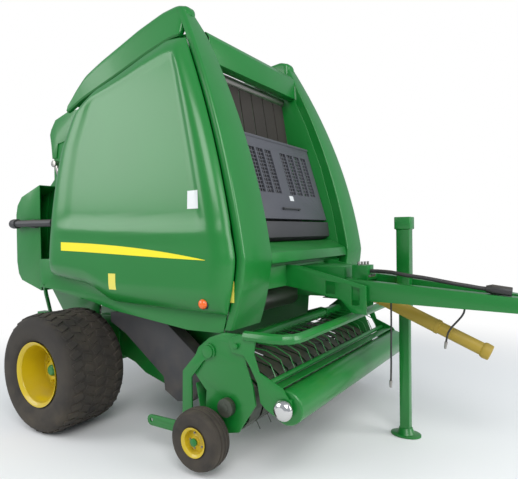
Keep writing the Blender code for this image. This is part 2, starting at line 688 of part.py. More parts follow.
def gauge_wheel(side, body):
    x, z = GAUGE_HUB
    outer = GAUGE_W / 2
    section = [(GAUGE_BEAD_R, -0.058), (0.140, -outer), (0.172, -0.062), (GAUGE_R, -0.030),
               (GAUGE_R, 0.030), (0.172, 0.062), (0.140, outer),
               (GAUGE_BEAD_R, 0.058), (GAUGE_BEAD_R, 0.042), (0.145, 0.055), (0.163, 0.0),
               (0.145, -0.055), (GAUGE_BEAD_R, -0.042)]
    tyre = turned([(r, side * GAUGE_Y + side * y) for r, y in section], x, z, 20)
    node("gauge_tyre_" + word(side), tyre, "tyre_rubber", body)
    barrel = GAUGE_BEAD_R - GAP
    bore = GAUGE_AXLE_R + BORE_CLEAR
    section = [(barrel, -0.060), (0.090, -0.070), (0.090, -0.074), (barrel - 0.008, -0.062),
               (barrel - 0.008, 0.012), (0.030, 0.025),
               (0.030, -0.026), (bore, -0.026), (bore, 0.055), (0.030, 0.055), (0.030, 0.038),
               (barrel - 0.008, 0.026),
               (barrel - 0.008, 0.062), (0.090, 0.074), (0.090, 0.070), (barrel, 0.060)]
    rim = turned([(r, side * GAUGE_Y + side * y) for r, y in section], x, z, 20)
    node("gauge_rim_" + word(side), rim, "yellow_paint", body)


# ---------------------------------------------------------------- pick-up
def pickup_frame(body):
    x, z = CROSS_TUBE
    reach = PICKUP_HALF + 0.032
    pieces = [rod((x, -reach, z), (x, reach, z), CROSS_TUBE_R, 20)]
    for side in (-1, 1):
        bore = [circle(PICKUP_PIVOT, PIN_R + BORE_CLEAR)]
        arm = [*arc(PICKUP_PIVOT, 0.060, 110, 290, 6), (1.19, 0.615), (1.30, 0.655), (1.43, 0.68),
               (1.43, 0.755), (1.36, 0.765)]
        pieces.append(plate("Y", arm, side * 0.632, side * 0.656, bore))
        cheek = [(1.235, 0.60), (1.36, 0.47), (1.345, 0.30), (1.50, 0.235), (1.60, 0.26), (1.72, 0.44),
                 (1.70, 0.55), (1.655, 0.66), (1.63, 0.84), (1.50, 0.84), (1.39, 0.80), (1.30, 0.73)]
        pieces.append(plate("Y", cheek, side * PICKUP_HALF, side * (PICKUP_HALF + PICKUP_PLATE),
                            [circle(REEL, 0.026 + BORE_CLEAR, 20)]))
    pan = [[(x, y, z) for x, z in ((1.27, 0.50), (1.30, 0.36),
                                   (1.38, 0.245))] for y in (-PICKUP_HALF - 0.003, PICKUP_HALF + 0.003)]
    pieces.append(skin(pan, SHEET))
    x, z = GUARD_PIVOT
    for side in (-1, 1):
        pieces.append(rod((x, side * (PICKUP_HALF + 0.004), z), (x, side * 0.998, z), 0.014, 12))
    node("pickup_frame", union(*pieces), "green_paint", body)


def stripper_bands(body):
    """Curved bands round the reel, tied together behind, with gaps that the tines pass through."""
    pitch = 2 * (PICKUP_HALF - 0.004) / BAND_COUNT
    bands = []
    for i in range(BAND_COUNT):
        centre = (i - (BAND_COUNT - 1) / 2) * pitch
        line = [(1.30, 0.615), *arc(REEL, DRUM_R, 75, -110, 7), (1.40, 0.262)]
        edge = pitch / 2 - 0.012
        low, high = centre - edge, centre + edge
        if i == 0:
            low = centre - pitch / 2
        if i == BAND_COUNT - 1:
            high = centre + pitch / 2
        bands.append(skin([[(x, y, z) for x, z in line] for y in (low, high)], 0.004))
    tie = block(span(1.298, 1.318), span(-PICKUP_HALF + 0.001, PICKUP_HALF - 0.001), span(0.585, 0.620))
    foot = block(span(1.392, 1.412), span(-PICKUP_HALF + 0.001, PICKUP_HALF - 0.001), span(0.250, 0.270))
    node("stripper_bands", union(tie, foot, *bands), "green_paint", body)


def tine_reel(body):
    x, z = REEL
    half = PICKUP_HALF - 0.012
    pieces = [rod((x, -1.015, z), (x, 1.015, z), 0.026, 16)]
    for side in (-1, 1):
        pieces.append(rod((x, side * half, z), (x, side * (half - 0.008), z), 0.135, 24))
        pieces.append(rod((x, side * 0.975, z), (x, side * 1.012, z), 0.055, 16))
    pitch = 2 * (PICKUP_HALF - 0.004) / BAND_COUNT
    for quarter in range(4):
        angle = math.radians(45 + 90 * quarter)
        bx, bz = x + REEL_R * math.cos(angle), z + REEL_R * math.sin(angle)
        pieces.append(rod((bx, -half, bz), (bx, half, bz), 0.012, 8))
        tx, tz = x + TINE_TIP_R * math.cos(angle - 0.12), z + TINE_TIP_R * math.sin(angle - 0.12)
        for i in range(BAND_COUNT - 1):
            y = (i + 1 - BAND_COUNT / 2) * pitch
            pieces.append(rod((bx, y, bz), (tx, y, tz), 0.0035, 4))
    node("tine_reel", union(*pieces), "steel", body)


def gauge_arm(side, body):
    """The beam that carries a gauge wheel, hung from the pick-up's cross tube."""
    x, z = GAUGE_HUB
    outline = [*arc((0.895, 0.200), 0.036, 90, 270, 6), (1.30, 0.165), *arc(GAUGE_HUB, 0.034, -70, 70, 4),
               (1.25, 0.240), (1.25, 0.54),
               (1.35, 0.655), (1.432, 0.69), *arc(CROSS_TUBE, 0.052, 0, 150, 5), (1.18, 0.57),
               (1.17, 0.240)]
    holes = [circle(CROSS_TUBE, CROSS_TUBE_R + BORE_CLEAR, 20), circle((0.895, 0.200), 0.013, 8)]
    cheek = PICKUP_HALF + PICKUP_PLATE
    arm = plate("Y", outline, cheek + 0.0015, cheek + 0.0125, holes)
    stub = rod((x, cheek + 0.004, z), (x, GAUGE_Y + 0.070, z), GAUGE_AXLE_R, 14)
    collar = rod((x, cheek + 0.004, z), (x, GAUGE_Y - 0.032, z), 0.026, 12)
    cap = rod((x, GAUGE_Y + 0.058, z), (x, GAUGE_Y + 0.068, z), 0.024, 12)
    node("gauge_arm_" + word(side), mirrored(union(arm, stub, collar, cap), side), "green_paint", body)


# ---------------------------------------------------------------- windguard
def windguard(body):
    near, far = GUARD_PLATE_Y, GUARD_PLATE_Y + PICKUP_PLATE
    pieces = []
    for side in (-1, 1):
        outline = [(1.545, 0.800), (1.575, 0.825), (1.715, 0.868), (1.735, 0.83), (1.72, 0.74),
                   (1.755, 0.64), (1.86, 0.595), (1.905, 0.575),
                   (1.945, 0.52), (1.93, 0.50), (1.80, 0.44), (1.765, 0.47), (1.745, 0.58), (1.70, 0.66),
                   (1.655, 0.725), (1.57, 0.735)]
        pieces.append(plate("Y", outline, side * near, side * far, [circle(GUARD_PIVOT, 0.0148, 12)]))
        hanger = [(1.80, 0.44), (1.93, 0.52), (1.965, 0.52), (1.965, 0.44), (1.92, 0.41), (1.86, 0.41)]
        pieces.append(plate("Y", hanger, side * near, side * far, [circle(ROLLER, 0.0268, 16)]))
    bar = []
    for x, y in ((1.66, -0.979), (1.84, -0.979), (1.905, -0.965), (1.945, -0.93), (1.962, -0.87)):
        bar.append((x, y, 0.840))
    route = bar + [(x, -y, z) for x, y, z in reversed(bar)]
    pieces.append(pipe(route, 0.030, 2))
    pieces.append(plate("Y", [(1.820, 0.565), (1.90, 0.575), (1.90, 0.569), (1.820, 0.559)], -far, far))
    node("windguard", union(*pieces), "green_paint", body)


def windguard_wires(body):
    """The comb over the reel: a tube between the windguard's side plates, and the wires rooted in it."""
    end = GUARD_PLATE_Y - GAP
    x, z = COMB_TUBE
    comb = [rod((x, -end, z), (x, end, z), COMB_TUBE_R, 12)]
    for i in range(WIRE_COUNT):
        y = (i - (WIRE_COUNT - 1) / 2) * WIRE_PITCH
        wire = [(x, y, z), (1.76, y, 0.660), (1.66, y, 0.705), (1.455, y, 0.720)]
        comb.append(pipe(wire, WIRE_R, 0))
    node("windguard_wires", union(*comb), "green_paint", body)


def guard_roller(body):
    x, z = ROLLER
    tube = rod((x, -ROLLER_HALF, z), (x, ROLLER_HALF, z), ROLLER_R, 24)
    shaft = rod((x, -1.020, z), (x, 1.020, z), 0.026, 16)
    caps = [rod((x, side * 0.992, z), (x, side * 1.030, z), 0.046, 20, 0.034) for side in (-1, 1)]
    node("windguard_roller", union(tube, shaft, *caps), "green_paint", body)


# ---------------------------------------------------------------- covers over the side drives
def chain_cover(side):
    outline = [(0.30, 0.845), (0.76, 0.893), (1.20, 0.578), (1.19, 0.445), (1.10, 0.307), (0.965, 0.283),
               (0.85, 0.343), (0.84, 0.434), (0.46, 0.700), (0.30, 0.775)]
    shell = plate("Y", outline, 0.690, 0.800)
    inner = [(0.31, 0.835), (0.757, 0.882), (1.19, 0.572), (1.18, 0.45), (1.094, 0.317), (0.969, 0.294),
             (0.861, 0.349), (0.85, 0.440), (0.465, 0.709), (0.31, 0.780)]
    hollow = plate("Y", inner, 0.680, 0.794)
    shell = minus(shell, hollow)
    posts = [rod((x, WALL_OUT + GAP, z), (x, 0.797, z), 0.016, 12) for x, z in ((0.50, 0.78), (0.92, 0.45))]
    node("chain_cover_" + word(side), mirrored(union(shell, *posts), side), "black_plastic")


# ---------------------------------------------------------------- drawbar, jack and drive shaft
def drawbar():
    pieces = []
    for side in (-1, 1):
        x0, y0, z0 = BEAM_REAR
        x1, y1, z1 = BEAM_FRONT
        rows = []
        for x, y, z, tall in ((x0, y0, z0, 0.130), (x1, y1, z1, 0.088)):
            low, high = z - tall / 2, z + tall / 2
            left, right = side * y - BEAM_W / 2, side * y + BEAM_W / 2
            rows.append([(x, left, low), (x, right, low), (x, right, high), (x, left, high)])
        bm = bmesh.new()
        grid = [[bm.verts.new(point) for point in row] for row in rows]
        for i in range(4):
            bm.faces.new((grid[0][i], grid[0][(i + 1) % 4], grid[1][(i + 1) % 4], grid[1][i]))
        bm.faces.new(grid[0])
        bm.faces.new(grid[1][::-1])
        bmesh.ops.recalc_face_normals(bm, faces=bm.faces)
        pieces.append(from_bmesh(bm))
    head = block(span(3.00, 3.10), span(-0.105, 0.105), span(HEAD_Z, 1.030))
    rear_tie = block(span(1.97, 2.03), span(-0.30, 0.30), span(1.085, 1.118))
    valve = block(span(1.990, 2.100), span(-0.165, -0.050), span(1.110, 1.205))
    node("drawbar", union(head, *pieces, rear_tie, valve), "green_paint")
    eye = (3.20, 0.0)
    tongue = plate("Z", [(3.01, -0.05), *arc(eye, 0.050, -70, 70, 6), (3.01, 0.05)], HEAD_Z - 0.045,
                   HEAD_Z - GAP, [circle(eye, 0.018)])
    node("hitch_tongue", tongue, "steel")


def drawbar_bracket(side):
    """The tall plate that joins the drawbar to the front crossmember, with two windows."""
    windows = [[(1.86, 1.02), (1.93, 1.02), (1.93, 1.10), (1.86, 1.11)],
               [(2.045, 0.955), (2.10, 0.955), (2.10, 1.065), (2.045, 1.08)]]
    outline = [(1.55, 1.205), (1.66, 1.205), (2.145, 1.085), (2.145, 0.900), (2.05, 0.905), (1.97, 0.985),
               (1.66, 1.045),
               (1.55, 1.06)]
    inner = BEAM_REAR[1] + BEAM_W / 2 + GAP
    return plate("Y", outline, side * inner, side * (inner + 0.010), windows)


def gearbox():
    """The cover over the gearbox and the stub that the drive shaft hangs on."""
    shell = block(span(1.5608, 1.93), span(-0.155, 0.155), span(0.98, 1.19))
    nose = rod((1.90, 0, PTO_PIVOT[2]), (1.948, 0, PTO_PIVOT[2]), 0.045, 20)
    x, _, z = PTO_PIVOT
    ears = [block(span(1.94, x + 0.014), span(side * 0.0235, side * 0.035),
                  span(z - 0.014, z + 0.014)) for side in (-1, 1)]
    pin = rod((x, -0.030, z), (x, 0.030, z), 0.009, 12)
    node("gearbox", union(shell, nose, *ears, pin), "green_paint")


def drive_shaft(body):
    x, _, z = PTO_PIVOT
    run = Vector((math.cos(PTO_DROP), 0, -math.sin(PTO_DROP)))
    start = Vector(PTO_PIVOT)
    eye = plate("Y", circle((x, z), 0.022, 16), -0.0225, 0.0225, [circle((x, z), 0.0096, 12)])
    neck = rod(start + run * 0.015, start + run * 0.07, 0.016, 12)
    cone = rod(start + run * 0.055, start + run * 0.12, 0.052, 16, 0.045)
    tube = rod(start + run * 0.09, start + run * (PTO_LENGTH - 0.02), PTO_R, 20)
    tip = rod(start + run * (PTO_LENGTH - 0.05), start + run * PTO_LENGTH, 0.052, 20, 0.048)
    node("drive_shaft", union(eye, neck, cone, tube, tip), "ochre_plastic", body)


def jack(leg_body):
    half, hole = JACK_TUBE / 2, JACK_LEG / 2 + 0.0008
    tube = block(span(JACK_X - half, JACK_X + half), span(JACK_Y - half, JACK_Y + half), span(0.90, 1.50))
    bore = block(span(JACK_X - hole, JACK_X + hole), span(JACK_Y - hole, JACK_Y + hole), span(0.80, 1.485))
    cap = block(span(JACK_X - half - 0.01, JACK_X + half + 0.01),
                span(JACK_Y - half - 0.01, JACK_Y + half + 0.01), span(1.445, 1.530))
    beam_line = ((BEAM_REAR[0], BEAM_REAR[1]), (BEAM_FRONT[0], BEAM_FRONT[1]))
    beam_face = along(beam_line, JACK_X + half) - BEAM_W / 2 - GAP
    seat = block(span(JACK_X - half, JACK_X + half), span(JACK_Y, beam_face), span(0.99, 1.09))
    tube = minus(union(tube, cap, seat), bore)
    node("jack_tube", tube, "green_paint")
    leg_half = JACK_LEG / 2
    leg = block(span(JACK_X - leg_half, JACK_X + leg_half), span(JACK_Y - leg_half, JACK_Y + leg_half),
                span(0.010, 1.05))
    foot = plate("Z", [(JACK_X + 0.105 * math.cos(a),
                        JACK_Y + 0.075 * math.sin(a)) for a in [math.tau * i / 20 for i in range(20)]],
                        0.0, 0.014)
    collar = rod((JACK_X, JACK_Y, 0.012), (JACK_X, JACK_Y, 0.055), 0.060, 16, 0.045)
    node("jack_leg", union(leg, foot, collar), "green_paint", leg_body)


# ---------------------------------------------------------------- hoses and cables
# routes are (x, y, z) from the axle
HOSE_ROUTE = ((2.1003, -0.110, 1.165), (2.13, -0.110, 1.165), (2.16, -0.110, 1.165),
              (2.25, -0.128, 1.162), (2.35, -0.148, 1.148), (2.45, -0.150, 1.138),
              (2.55, -0.142, 1.122), (2.64, -0.132, 1.106), (2.72, -0.122, 1.0945),
              (2.78, -0.114, 1.0845), (2.815, -0.110, 1.0815))
HOSE_R = 0.013
CABLE_ROUTES = {
    "lift_cable": ((2.270, -0.205, 0.9779), (2.270, -0.205, 0.90), (2.270, -0.2052, 0.82),
                   (2.269, -0.2055, 0.74), (2.268, -0.2055, 0.66), (2.267, -0.205, 0.58),
                   (2.266, -0.205, 0.52), (2.264, -0.205, 0.47)),
    "guard_cable": ((2.700, -0.135, 0.9580), (2.696, -0.133, 0.935), (2.680, -0.127, 0.905),
                    (2.650, -0.116, 0.868), (2.618, -0.106, 0.830), (2.598, -0.101, 0.795),
                    (2.588, -0.099, 0.760), (2.584, -0.099, 0.735)),
}
CABLE_R = 0.006


def smooth_route(points, parts):
    """Points on a Catmull-Rom curve through the given ones."""
    knots = [Vector(p) for p in points]
    knots = [knots[0] * 2 - knots[1], *knots, knots[-1] * 2 - knots[-2]]
    made = []
    for a, b, c, d in zip(knots, knots[1:], knots[2:], knots[3:]):
        for i in range(parts):
            t = i / parts
            bend = (2 * a - 5 * b + 4 * c - d) * t * t + (3 * b - a - 3 * c + d) * t ** 3
            made.append(0.5 * (2 * b + (c - a) * t + bend))
    return [*made, knots[-2]]


def hoses():
    node("hose_bundle", pipe(smooth_route(HOSE_ROUTE, 2), HOSE_R, 2), "hose_rubber")
    before, tail = smooth_route(HOSE_ROUTE, 2)[-2:]
    run = (tail - before).normalized()
    boot = rod(tail + run * GAP, tail + run * 0.035, 0.020, 16, 0.030)
    plug = rod(tail + run * 0.034, (2.955, -0.105, 1.0695), 0.030, 16, 0.027)
    node("hose_boot", union(boot, plug), "hose_rubber")
    for name, route in CABLE_ROUTES.items():
        node(name, pipe(smooth_route(route, 2), CABLE_R, 2), "hose_rubber")
        before, end = smooth_route(route, 2)[-2:]
        run = (end - before).normalized()
        node(name + "_clip", rod(end + run * GAP, end + run * 0.045, 0.010, 12, 0.007), "steel")


# ---------------------------------------------------------------- the machine
def build():
    axle()
    gate_body = pivot_empty("tailgate_pivot", GATE_PIVOT[0], 0, GATE_PIVOT[1], BALER)
    net_body = pivot_empty("net_cover_pivot", NET_PIVOT[0], 0, NET_PIVOT[1], BALER)
    pickup_body = pivot_empty("pickup_pivot", PICKUP_PIVOT[0], 0, PICKUP_PIVOT[1], BALER)
    reel_body = pivot_empty("reel_axis", REEL[0], 0, REEL[1], pickup_body)
    guard_body = pivot_empty("windguard_pivot", GUARD_PIVOT[0], 0, GUARD_PIVOT[1], pickup_body)
    roller_body = pivot_empty("roller_axis", ROLLER[0], 0, ROLLER[1], guard_body)
    shaft_body = pivot_empty("drive_shaft_pivot", *PTO_PIVOT, BALER)
    leg_body = pivot_empty("jack_leg_slide", JACK_X, JACK_Y, 0.90, BALER)
    for side in (-1, 1):
        name = word(side)
        chamber_wall(side)
        side_frame(side)
        column(side)
        hump(side)
        pin = hinge_line(0.50)
        door(side, pivot_empty("side_door_pivot_" + name, pin.x, side * pin.y, pin.z, BALER))
        chain_cover(side)
        gate_side(side, gate_body)
        rear_lamp(side, gate_body)
        wheel(side, pivot_empty("wheel_axis_" + name, 0, side * WHEEL_Y, AXLE_Z, BALER))
        gauge_arm(side, pickup_body)
        gauge_wheel(side, pivot_empty("gauge_axis_" + name, GAUGE_HUB[0], side * GAUGE_Y, GAUGE_HUB[1],
                                      pickup_body))
        barrel_body = pivot_empty("cylinder_pivot_" + name, CYLINDER_FOOT[0], side * 0.694,
                                  CYLINDER_FOOT[1], BALER)
        rod_body = pivot_empty("cylinder_slide_" + name, ROD_EYE[0], side * 0.694, ROD_EYE[1], barrel_body)
        gate_cylinder(side, barrel_body, rod_body)
    cross_panel()
    shelf()
    net_cover(net_body)
    front_belts()
    starter_roller()
    net_tray()
    node("gate_hinge_shaft", gate_hinge(), "green_paint")
    gate_shield(gate_body)
    gate_hood(gate_body)
    gate_belts(gate_body)
    pickup_frame(pickup_body)
    stripper_bands(pickup_body)
    tine_reel(reel_body)
    windguard(guard_body)
    windguard_wires(guard_body)
    guard_roller(roller_body)
    drawbar()
    gearbox()
    drive_shaft(shaft_body)
    jack(leg_body)
    hoses()


build()
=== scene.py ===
# %% [markdown]
# # A round baler, dressed
# A round baler picks up rows of hay and rolls them into a bale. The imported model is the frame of
# this scene: every piece here takes its place from it, and each moving piece rides on a body of
# that model. Lengths are metres, +X points to the hitch, +Y to the machine's left, +Z up.

import json
import math

import bmesh
import bpy
from mathutils import Matrix, Vector


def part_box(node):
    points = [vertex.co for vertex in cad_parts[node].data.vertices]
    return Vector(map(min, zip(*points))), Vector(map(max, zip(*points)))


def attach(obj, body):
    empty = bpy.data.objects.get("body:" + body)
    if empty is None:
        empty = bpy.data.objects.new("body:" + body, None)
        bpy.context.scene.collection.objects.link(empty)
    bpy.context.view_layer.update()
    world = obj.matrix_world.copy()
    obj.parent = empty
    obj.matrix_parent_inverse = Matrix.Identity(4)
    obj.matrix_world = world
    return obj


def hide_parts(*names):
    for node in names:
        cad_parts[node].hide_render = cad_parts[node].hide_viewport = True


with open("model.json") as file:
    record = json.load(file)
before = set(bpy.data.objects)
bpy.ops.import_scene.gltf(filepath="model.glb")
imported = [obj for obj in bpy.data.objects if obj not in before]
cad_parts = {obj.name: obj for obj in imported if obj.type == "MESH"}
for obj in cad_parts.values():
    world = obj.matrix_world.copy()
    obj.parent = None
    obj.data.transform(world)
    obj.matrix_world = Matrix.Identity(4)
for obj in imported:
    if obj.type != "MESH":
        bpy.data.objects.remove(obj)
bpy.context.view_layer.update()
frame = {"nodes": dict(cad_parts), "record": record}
NODES = frame["nodes"]
SLOTS = {entry["node"]: entry["material_slot"] for entry in frame["record"]["subparts"]}

# %% Places that the whole script shares
SIDES = (-1, 1)


def word(side):
    return "right" if side < 0 else "left"


def middle(node):
    low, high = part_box(node)
    return (low + high) / 2


AXLE = middle("tyre_right")
AXLE_X = AXLE.x
AXLE_Z = AXLE.z


def at(x, y, z):
    """A place given from the wheel axle, which is how the machine's drawing is set out."""
    return Vector((x + AXLE_X, y, z))


print("axle at", round(AXLE_X, 3), round(AXLE_Z, 3))

# %% [markdown]
# ## Camera
# The camera stands at the machine's front right corner at chest height. A rotation matrix built
# from three angles is exact and needs no aim target, so the view never shifts by accident.

# %% Camera
SENSOR_MM = 36
LENS_MM = SENSOR_MM * 487.8 / 518
EYE = (2.10, -3.29, 1.44)
HEADING, RISE, ROLL = (math.radians(a) for a in (32.88, -0.90, -0.77))

ahead = Vector((-math.sin(HEADING), math.cos(HEADING), 0))
forward = ahead * math.cos(RISE) + Vector((0, 0, math.sin(RISE)))
level = Vector((math.cos(HEADING), math.sin(HEADING), 0))
upright = level.cross(forward)
right = level * math.cos(ROLL) + upright * math.sin(ROLL)
up = upright * math.cos(ROLL) - level * math.sin(ROLL)
camera_data = bpy.data.cameras.new("camera")
camera_data.sensor_width = SENSOR_MM
camera_data.lens = LENS_MM
camera = bpy.data.objects.new("camera", camera_data)
camera.matrix_world = Matrix.Translation(EYE) @ Matrix((right, up, -forward)).transposed().to_4x4()
bpy.context.scene.collection.objects.link(camera)
bpy.context.scene.camera = camera
print("lens", round(camera_data.lens, 2))

# %% [markdown]
# ## Floor and light
# A pale floor keeps the shadow. Three large soft lamps and a pale world light the paint evenly,
# so the colours read as they are mixed.


# %% Floor and light
def plain_material(name, colour, roughness):
    made = bpy.data.materials.new(name)
    made.use_nodes = True
    shader = made.node_tree.nodes["Principled BSDF"]
    shader.inputs["Base Color"].default_value = (*colour, 1)
    shader.inputs["Roughness"].default_value = roughness
    return made


FLOOR_SIZE, FLOOR_DROP = 40, 0.001
# the floor turns white between these distances, so that no horizon shows
WHITE_FROM = (2.2, 5.0)
floor_mesh = bpy.data.meshes.new("floor")
bm = bmesh.new()
bmesh.ops.create_grid(bm, x_segments=1, y_segments=1, size=FLOOR_SIZE)
bm.to_mesh(floor_mesh)
bm.free()
floor = bpy.data.objects.new("floor", floor_mesh)
bpy.context.scene.collection.objects.link(floor)
FLOOR_LOOK = plain_material("pale_floor", (0.86, 0.86, 0.86), 0.9)
tree = FLOOR_LOOK.node_tree
place = tree.nodes.new("ShaderNodeTexCoord")
distance = tree.nodes.new("ShaderNodeVectorMath")
distance.operation = "LENGTH"
fade = tree.nodes.new("ShaderNodeMapRange")
fade.interpolation_type = "SMOOTHSTEP"
fade.inputs["From Min"].default_value, fade.inputs["From Max"].default_value = WHITE_FROM
seen = tree.nodes.new("ShaderNodeLightPath")
both = tree.nodes.new("ShaderNodeMath")
both.operation = "MULTIPLY"
glow = tree.nodes.new("ShaderNodeEmission")
blend = tree.nodes.new("ShaderNodeMixShader")
tree.links.new(place.outputs["Object"], distance.inputs[0])
tree.links.new(distance.outputs["Value"], fade.inputs["Value"])
tree.links.new(fade.outputs["Result"], both.inputs[0])
tree.links.new(seen.outputs["Is Camera Ray"], both.inputs[1])
tree.links.new(both.outputs["Value"], blend.inputs["Fac"])
tree.links.new(tree.nodes["Principled BSDF"].outputs["BSDF"], blend.inputs[1])
tree.links.new(glow.outputs["Emission"], blend.inputs[2])
tree.links.new(blend.outputs["Shader"], tree.nodes["Material Output"].inputs["Surface"])
floor_mesh.materials.append(FLOOR_LOOK)
floor.location.z = -FLOOR_DROP

world = bpy.data.worlds.new("studio")
bpy.context.scene.world = world
world.use_nodes = True
tree = world.node_tree
background = tree.nodes["Background"]
background.inputs["Color"].default_value = (0.80, 0.86, 0.92, 1)
background.inputs["Strength"].default_value = 0.58
white = tree.nodes.new("ShaderNodeBackground")
white.inputs["Color"].default_value = (1, 1, 1, 1)
light_path = tree.nodes.new("ShaderNodeLightPath")
choose = tree.nodes.new("ShaderNodeMixShader")
tree.links.new(light_path.outputs["Is Camera Ray"], choose.inputs["Fac"])
tree.links.new(background.outputs["Background"], choose.inputs[1])
tree.links.new(white.outputs["Background"], choose.inputs[2])
tree.links.new(choose.outputs["Shader"], tree.nodes["World Output"].inputs["Surface"])

# name, place, watts, size
LAMPS = (("key", (4.5, -5.5, 6.5), 390, 4.5), ("fill", (-4.5, -5.0, 4.0), 190, 4.0),
         ("front", (7.0, 1.0, 3.5), 240, 4.0))
AIM = Vector((0, 0, 1.2))
for name, place, watts, size in LAMPS:
    data = bpy.data.lights.new(name, "AREA")
    data.energy = watts
    data.size = size
    lamp = bpy.data.objects.new(name, data)
    lamp.location = place
    lamp.rotation_euler = (AIM - Vector(place)).to_track_quat("-Z", "Y").to_euler()
    bpy.context.scene.collection.objects.link(lamp)
bpy.context.scene.view_settings.view_transform = "Standard"
print("lamps", len(LAMPS))

# %% [markdown]
# ## Shared shader groups
# Paint that has stood in fields carries dust on its level parts and a faint mottle everywhere.
# Both are node groups, so each finish can call them with its own strengths.


# %% Shared shader groups
def add(tree, kind, **settings):
    made = tree.nodes.new(kind)
    for key, value in settings.items():
        setattr(made, key, value)
    return made


def mottle_group():
    """Fine grain and slow blotches from Object coordinates: Grain and Blotch, both 0 to 1."""
    group = bpy.data.node_groups.new("mottle", "ShaderNodeTree")
    face = group.interface
    face.new_socket("Grain Scale", in_out="INPUT", socket_type="NodeSocketFloat")
    face.new_socket("Blotch Scale", in_out="INPUT", socket_type="NodeSocketFloat")
    face.new_socket("Grain", in_out="OUTPUT", socket_type="NodeSocketFloat")
    face.new_socket("Blotch", in_out="OUTPUT", socket_type="NodeSocketFloat")
    entry, leave = add(group, "NodeGroupInput"), add(group, "NodeGroupOutput")
    place = add(group, "ShaderNodeTexCoord")
    for scale, out, detail in (("Grain Scale", "Grain", 4), ("Blotch Scale", "Blotch", 3)):
        noise = add(group, "ShaderNodeTexNoise")
        noise.inputs["Detail"].default_value = detail
        group.links.new(place.outputs["Object"], noise.inputs["Vector"])
        group.links.new(entry.outputs[scale], noise.inputs["Scale"])
        group.links.new(noise.outputs["Fac"], leave.inputs[out])
    return group


def dust_group():
    """Dust mask: strongest where the surface faces up, broken by noise, and rising towards the ground."""
    group = bpy.data.node_groups.new("settled_dust", "ShaderNodeTree")
    face = group.interface
    face.new_socket("Amount", in_out="INPUT", socket_type="NodeSocketFloat")
    face.new_socket("Low Height", in_out="INPUT", socket_type="NodeSocketFloat")
    face.new_socket("Mask", in_out="OUTPUT", socket_type="NodeSocketFloat")
    entry, leave = add(group, "NodeGroupInput"), add(group, "NodeGroupOutput")
    place, shape = add(group, "ShaderNodeTexCoord"), add(group, "ShaderNodeNewGeometry")
    normal, spot = add(group, "ShaderNodeSeparateXYZ"), add(group, "ShaderNodeSeparateXYZ")
    group.links.new(shape.outputs["Normal"], normal.inputs[0])
    group.links.new(place.outputs["Object"], spot.inputs[0])
    facing = add(group, "ShaderNodeMapRange")
    facing.inputs["From Min"].default_value = 0.35
    facing.inputs["To Max"].default_value = 0.8
    group.links.new(normal.outputs["Z"], facing.inputs["Value"])
    low = add(group, "ShaderNodeMapRange")
    low.inputs["From Min"].default_value = 0.0
    low.inputs["To Min"].default_value = 0.75
    low.inputs["To Max"].default_value = 0.0
    group.links.new(spot.outputs["Z"], low.inputs["Value"])
    group.links.new(entry.outputs["Low Height"], low.inputs["From Max"])
    both = add(group, "ShaderNodeMath", operation="ADD")
    group.links.new(facing.outputs["Result"], both.inputs[0])
    group.links.new(low.outputs["Result"], both.inputs[1])
    noise = add(group, "ShaderNodeTexNoise")
    noise.inputs["Scale"].default_value = 9
    noise.inputs["Detail"].default_value = 8
    group.links.new(place.outputs["Object"], noise.inputs["Vector"])
    broken = add(group, "ShaderNodeMapRange")
    broken.inputs["From Min"].default_value = 0.32
    broken.inputs["From Max"].default_value = 0.72
    group.links.new(noise.outputs["Fac"], broken.inputs["Value"])
    spread = add(group, "ShaderNodeMath", operation="MULTIPLY")
    group.links.new(both.outputs[0], spread.inputs[0])
    group.links.new(broken.outputs["Result"], spread.inputs[1])
    mask = add(group, "ShaderNodeMath", operation="MULTIPLY", use_clamp=True)
    group.links.new(spread.outputs[0], mask.inputs[0])
    group.links.new(entry.outputs["Amount"], mask.inputs[1])
    group.links.new(mask.outputs[0], leave.inputs["Mask"])
    return group


MOTTLE, DUST = mottle_group(), dust_group()
print("groups", MOTTLE.name, DUST.name)

# %% [markdown]
# ## Finishes
# One table holds every finish: gloss paint, moulded plastic, rubber, bare steel. The same wiring
# builds them all, and only the numbers tell paint from rubber.

# %% Finishes
DUST_COLOUR = (0.30, 0.235, 0.15)
BLOTCH_SCALE = 2.2
DUST_ROUGHNESS = 0.45
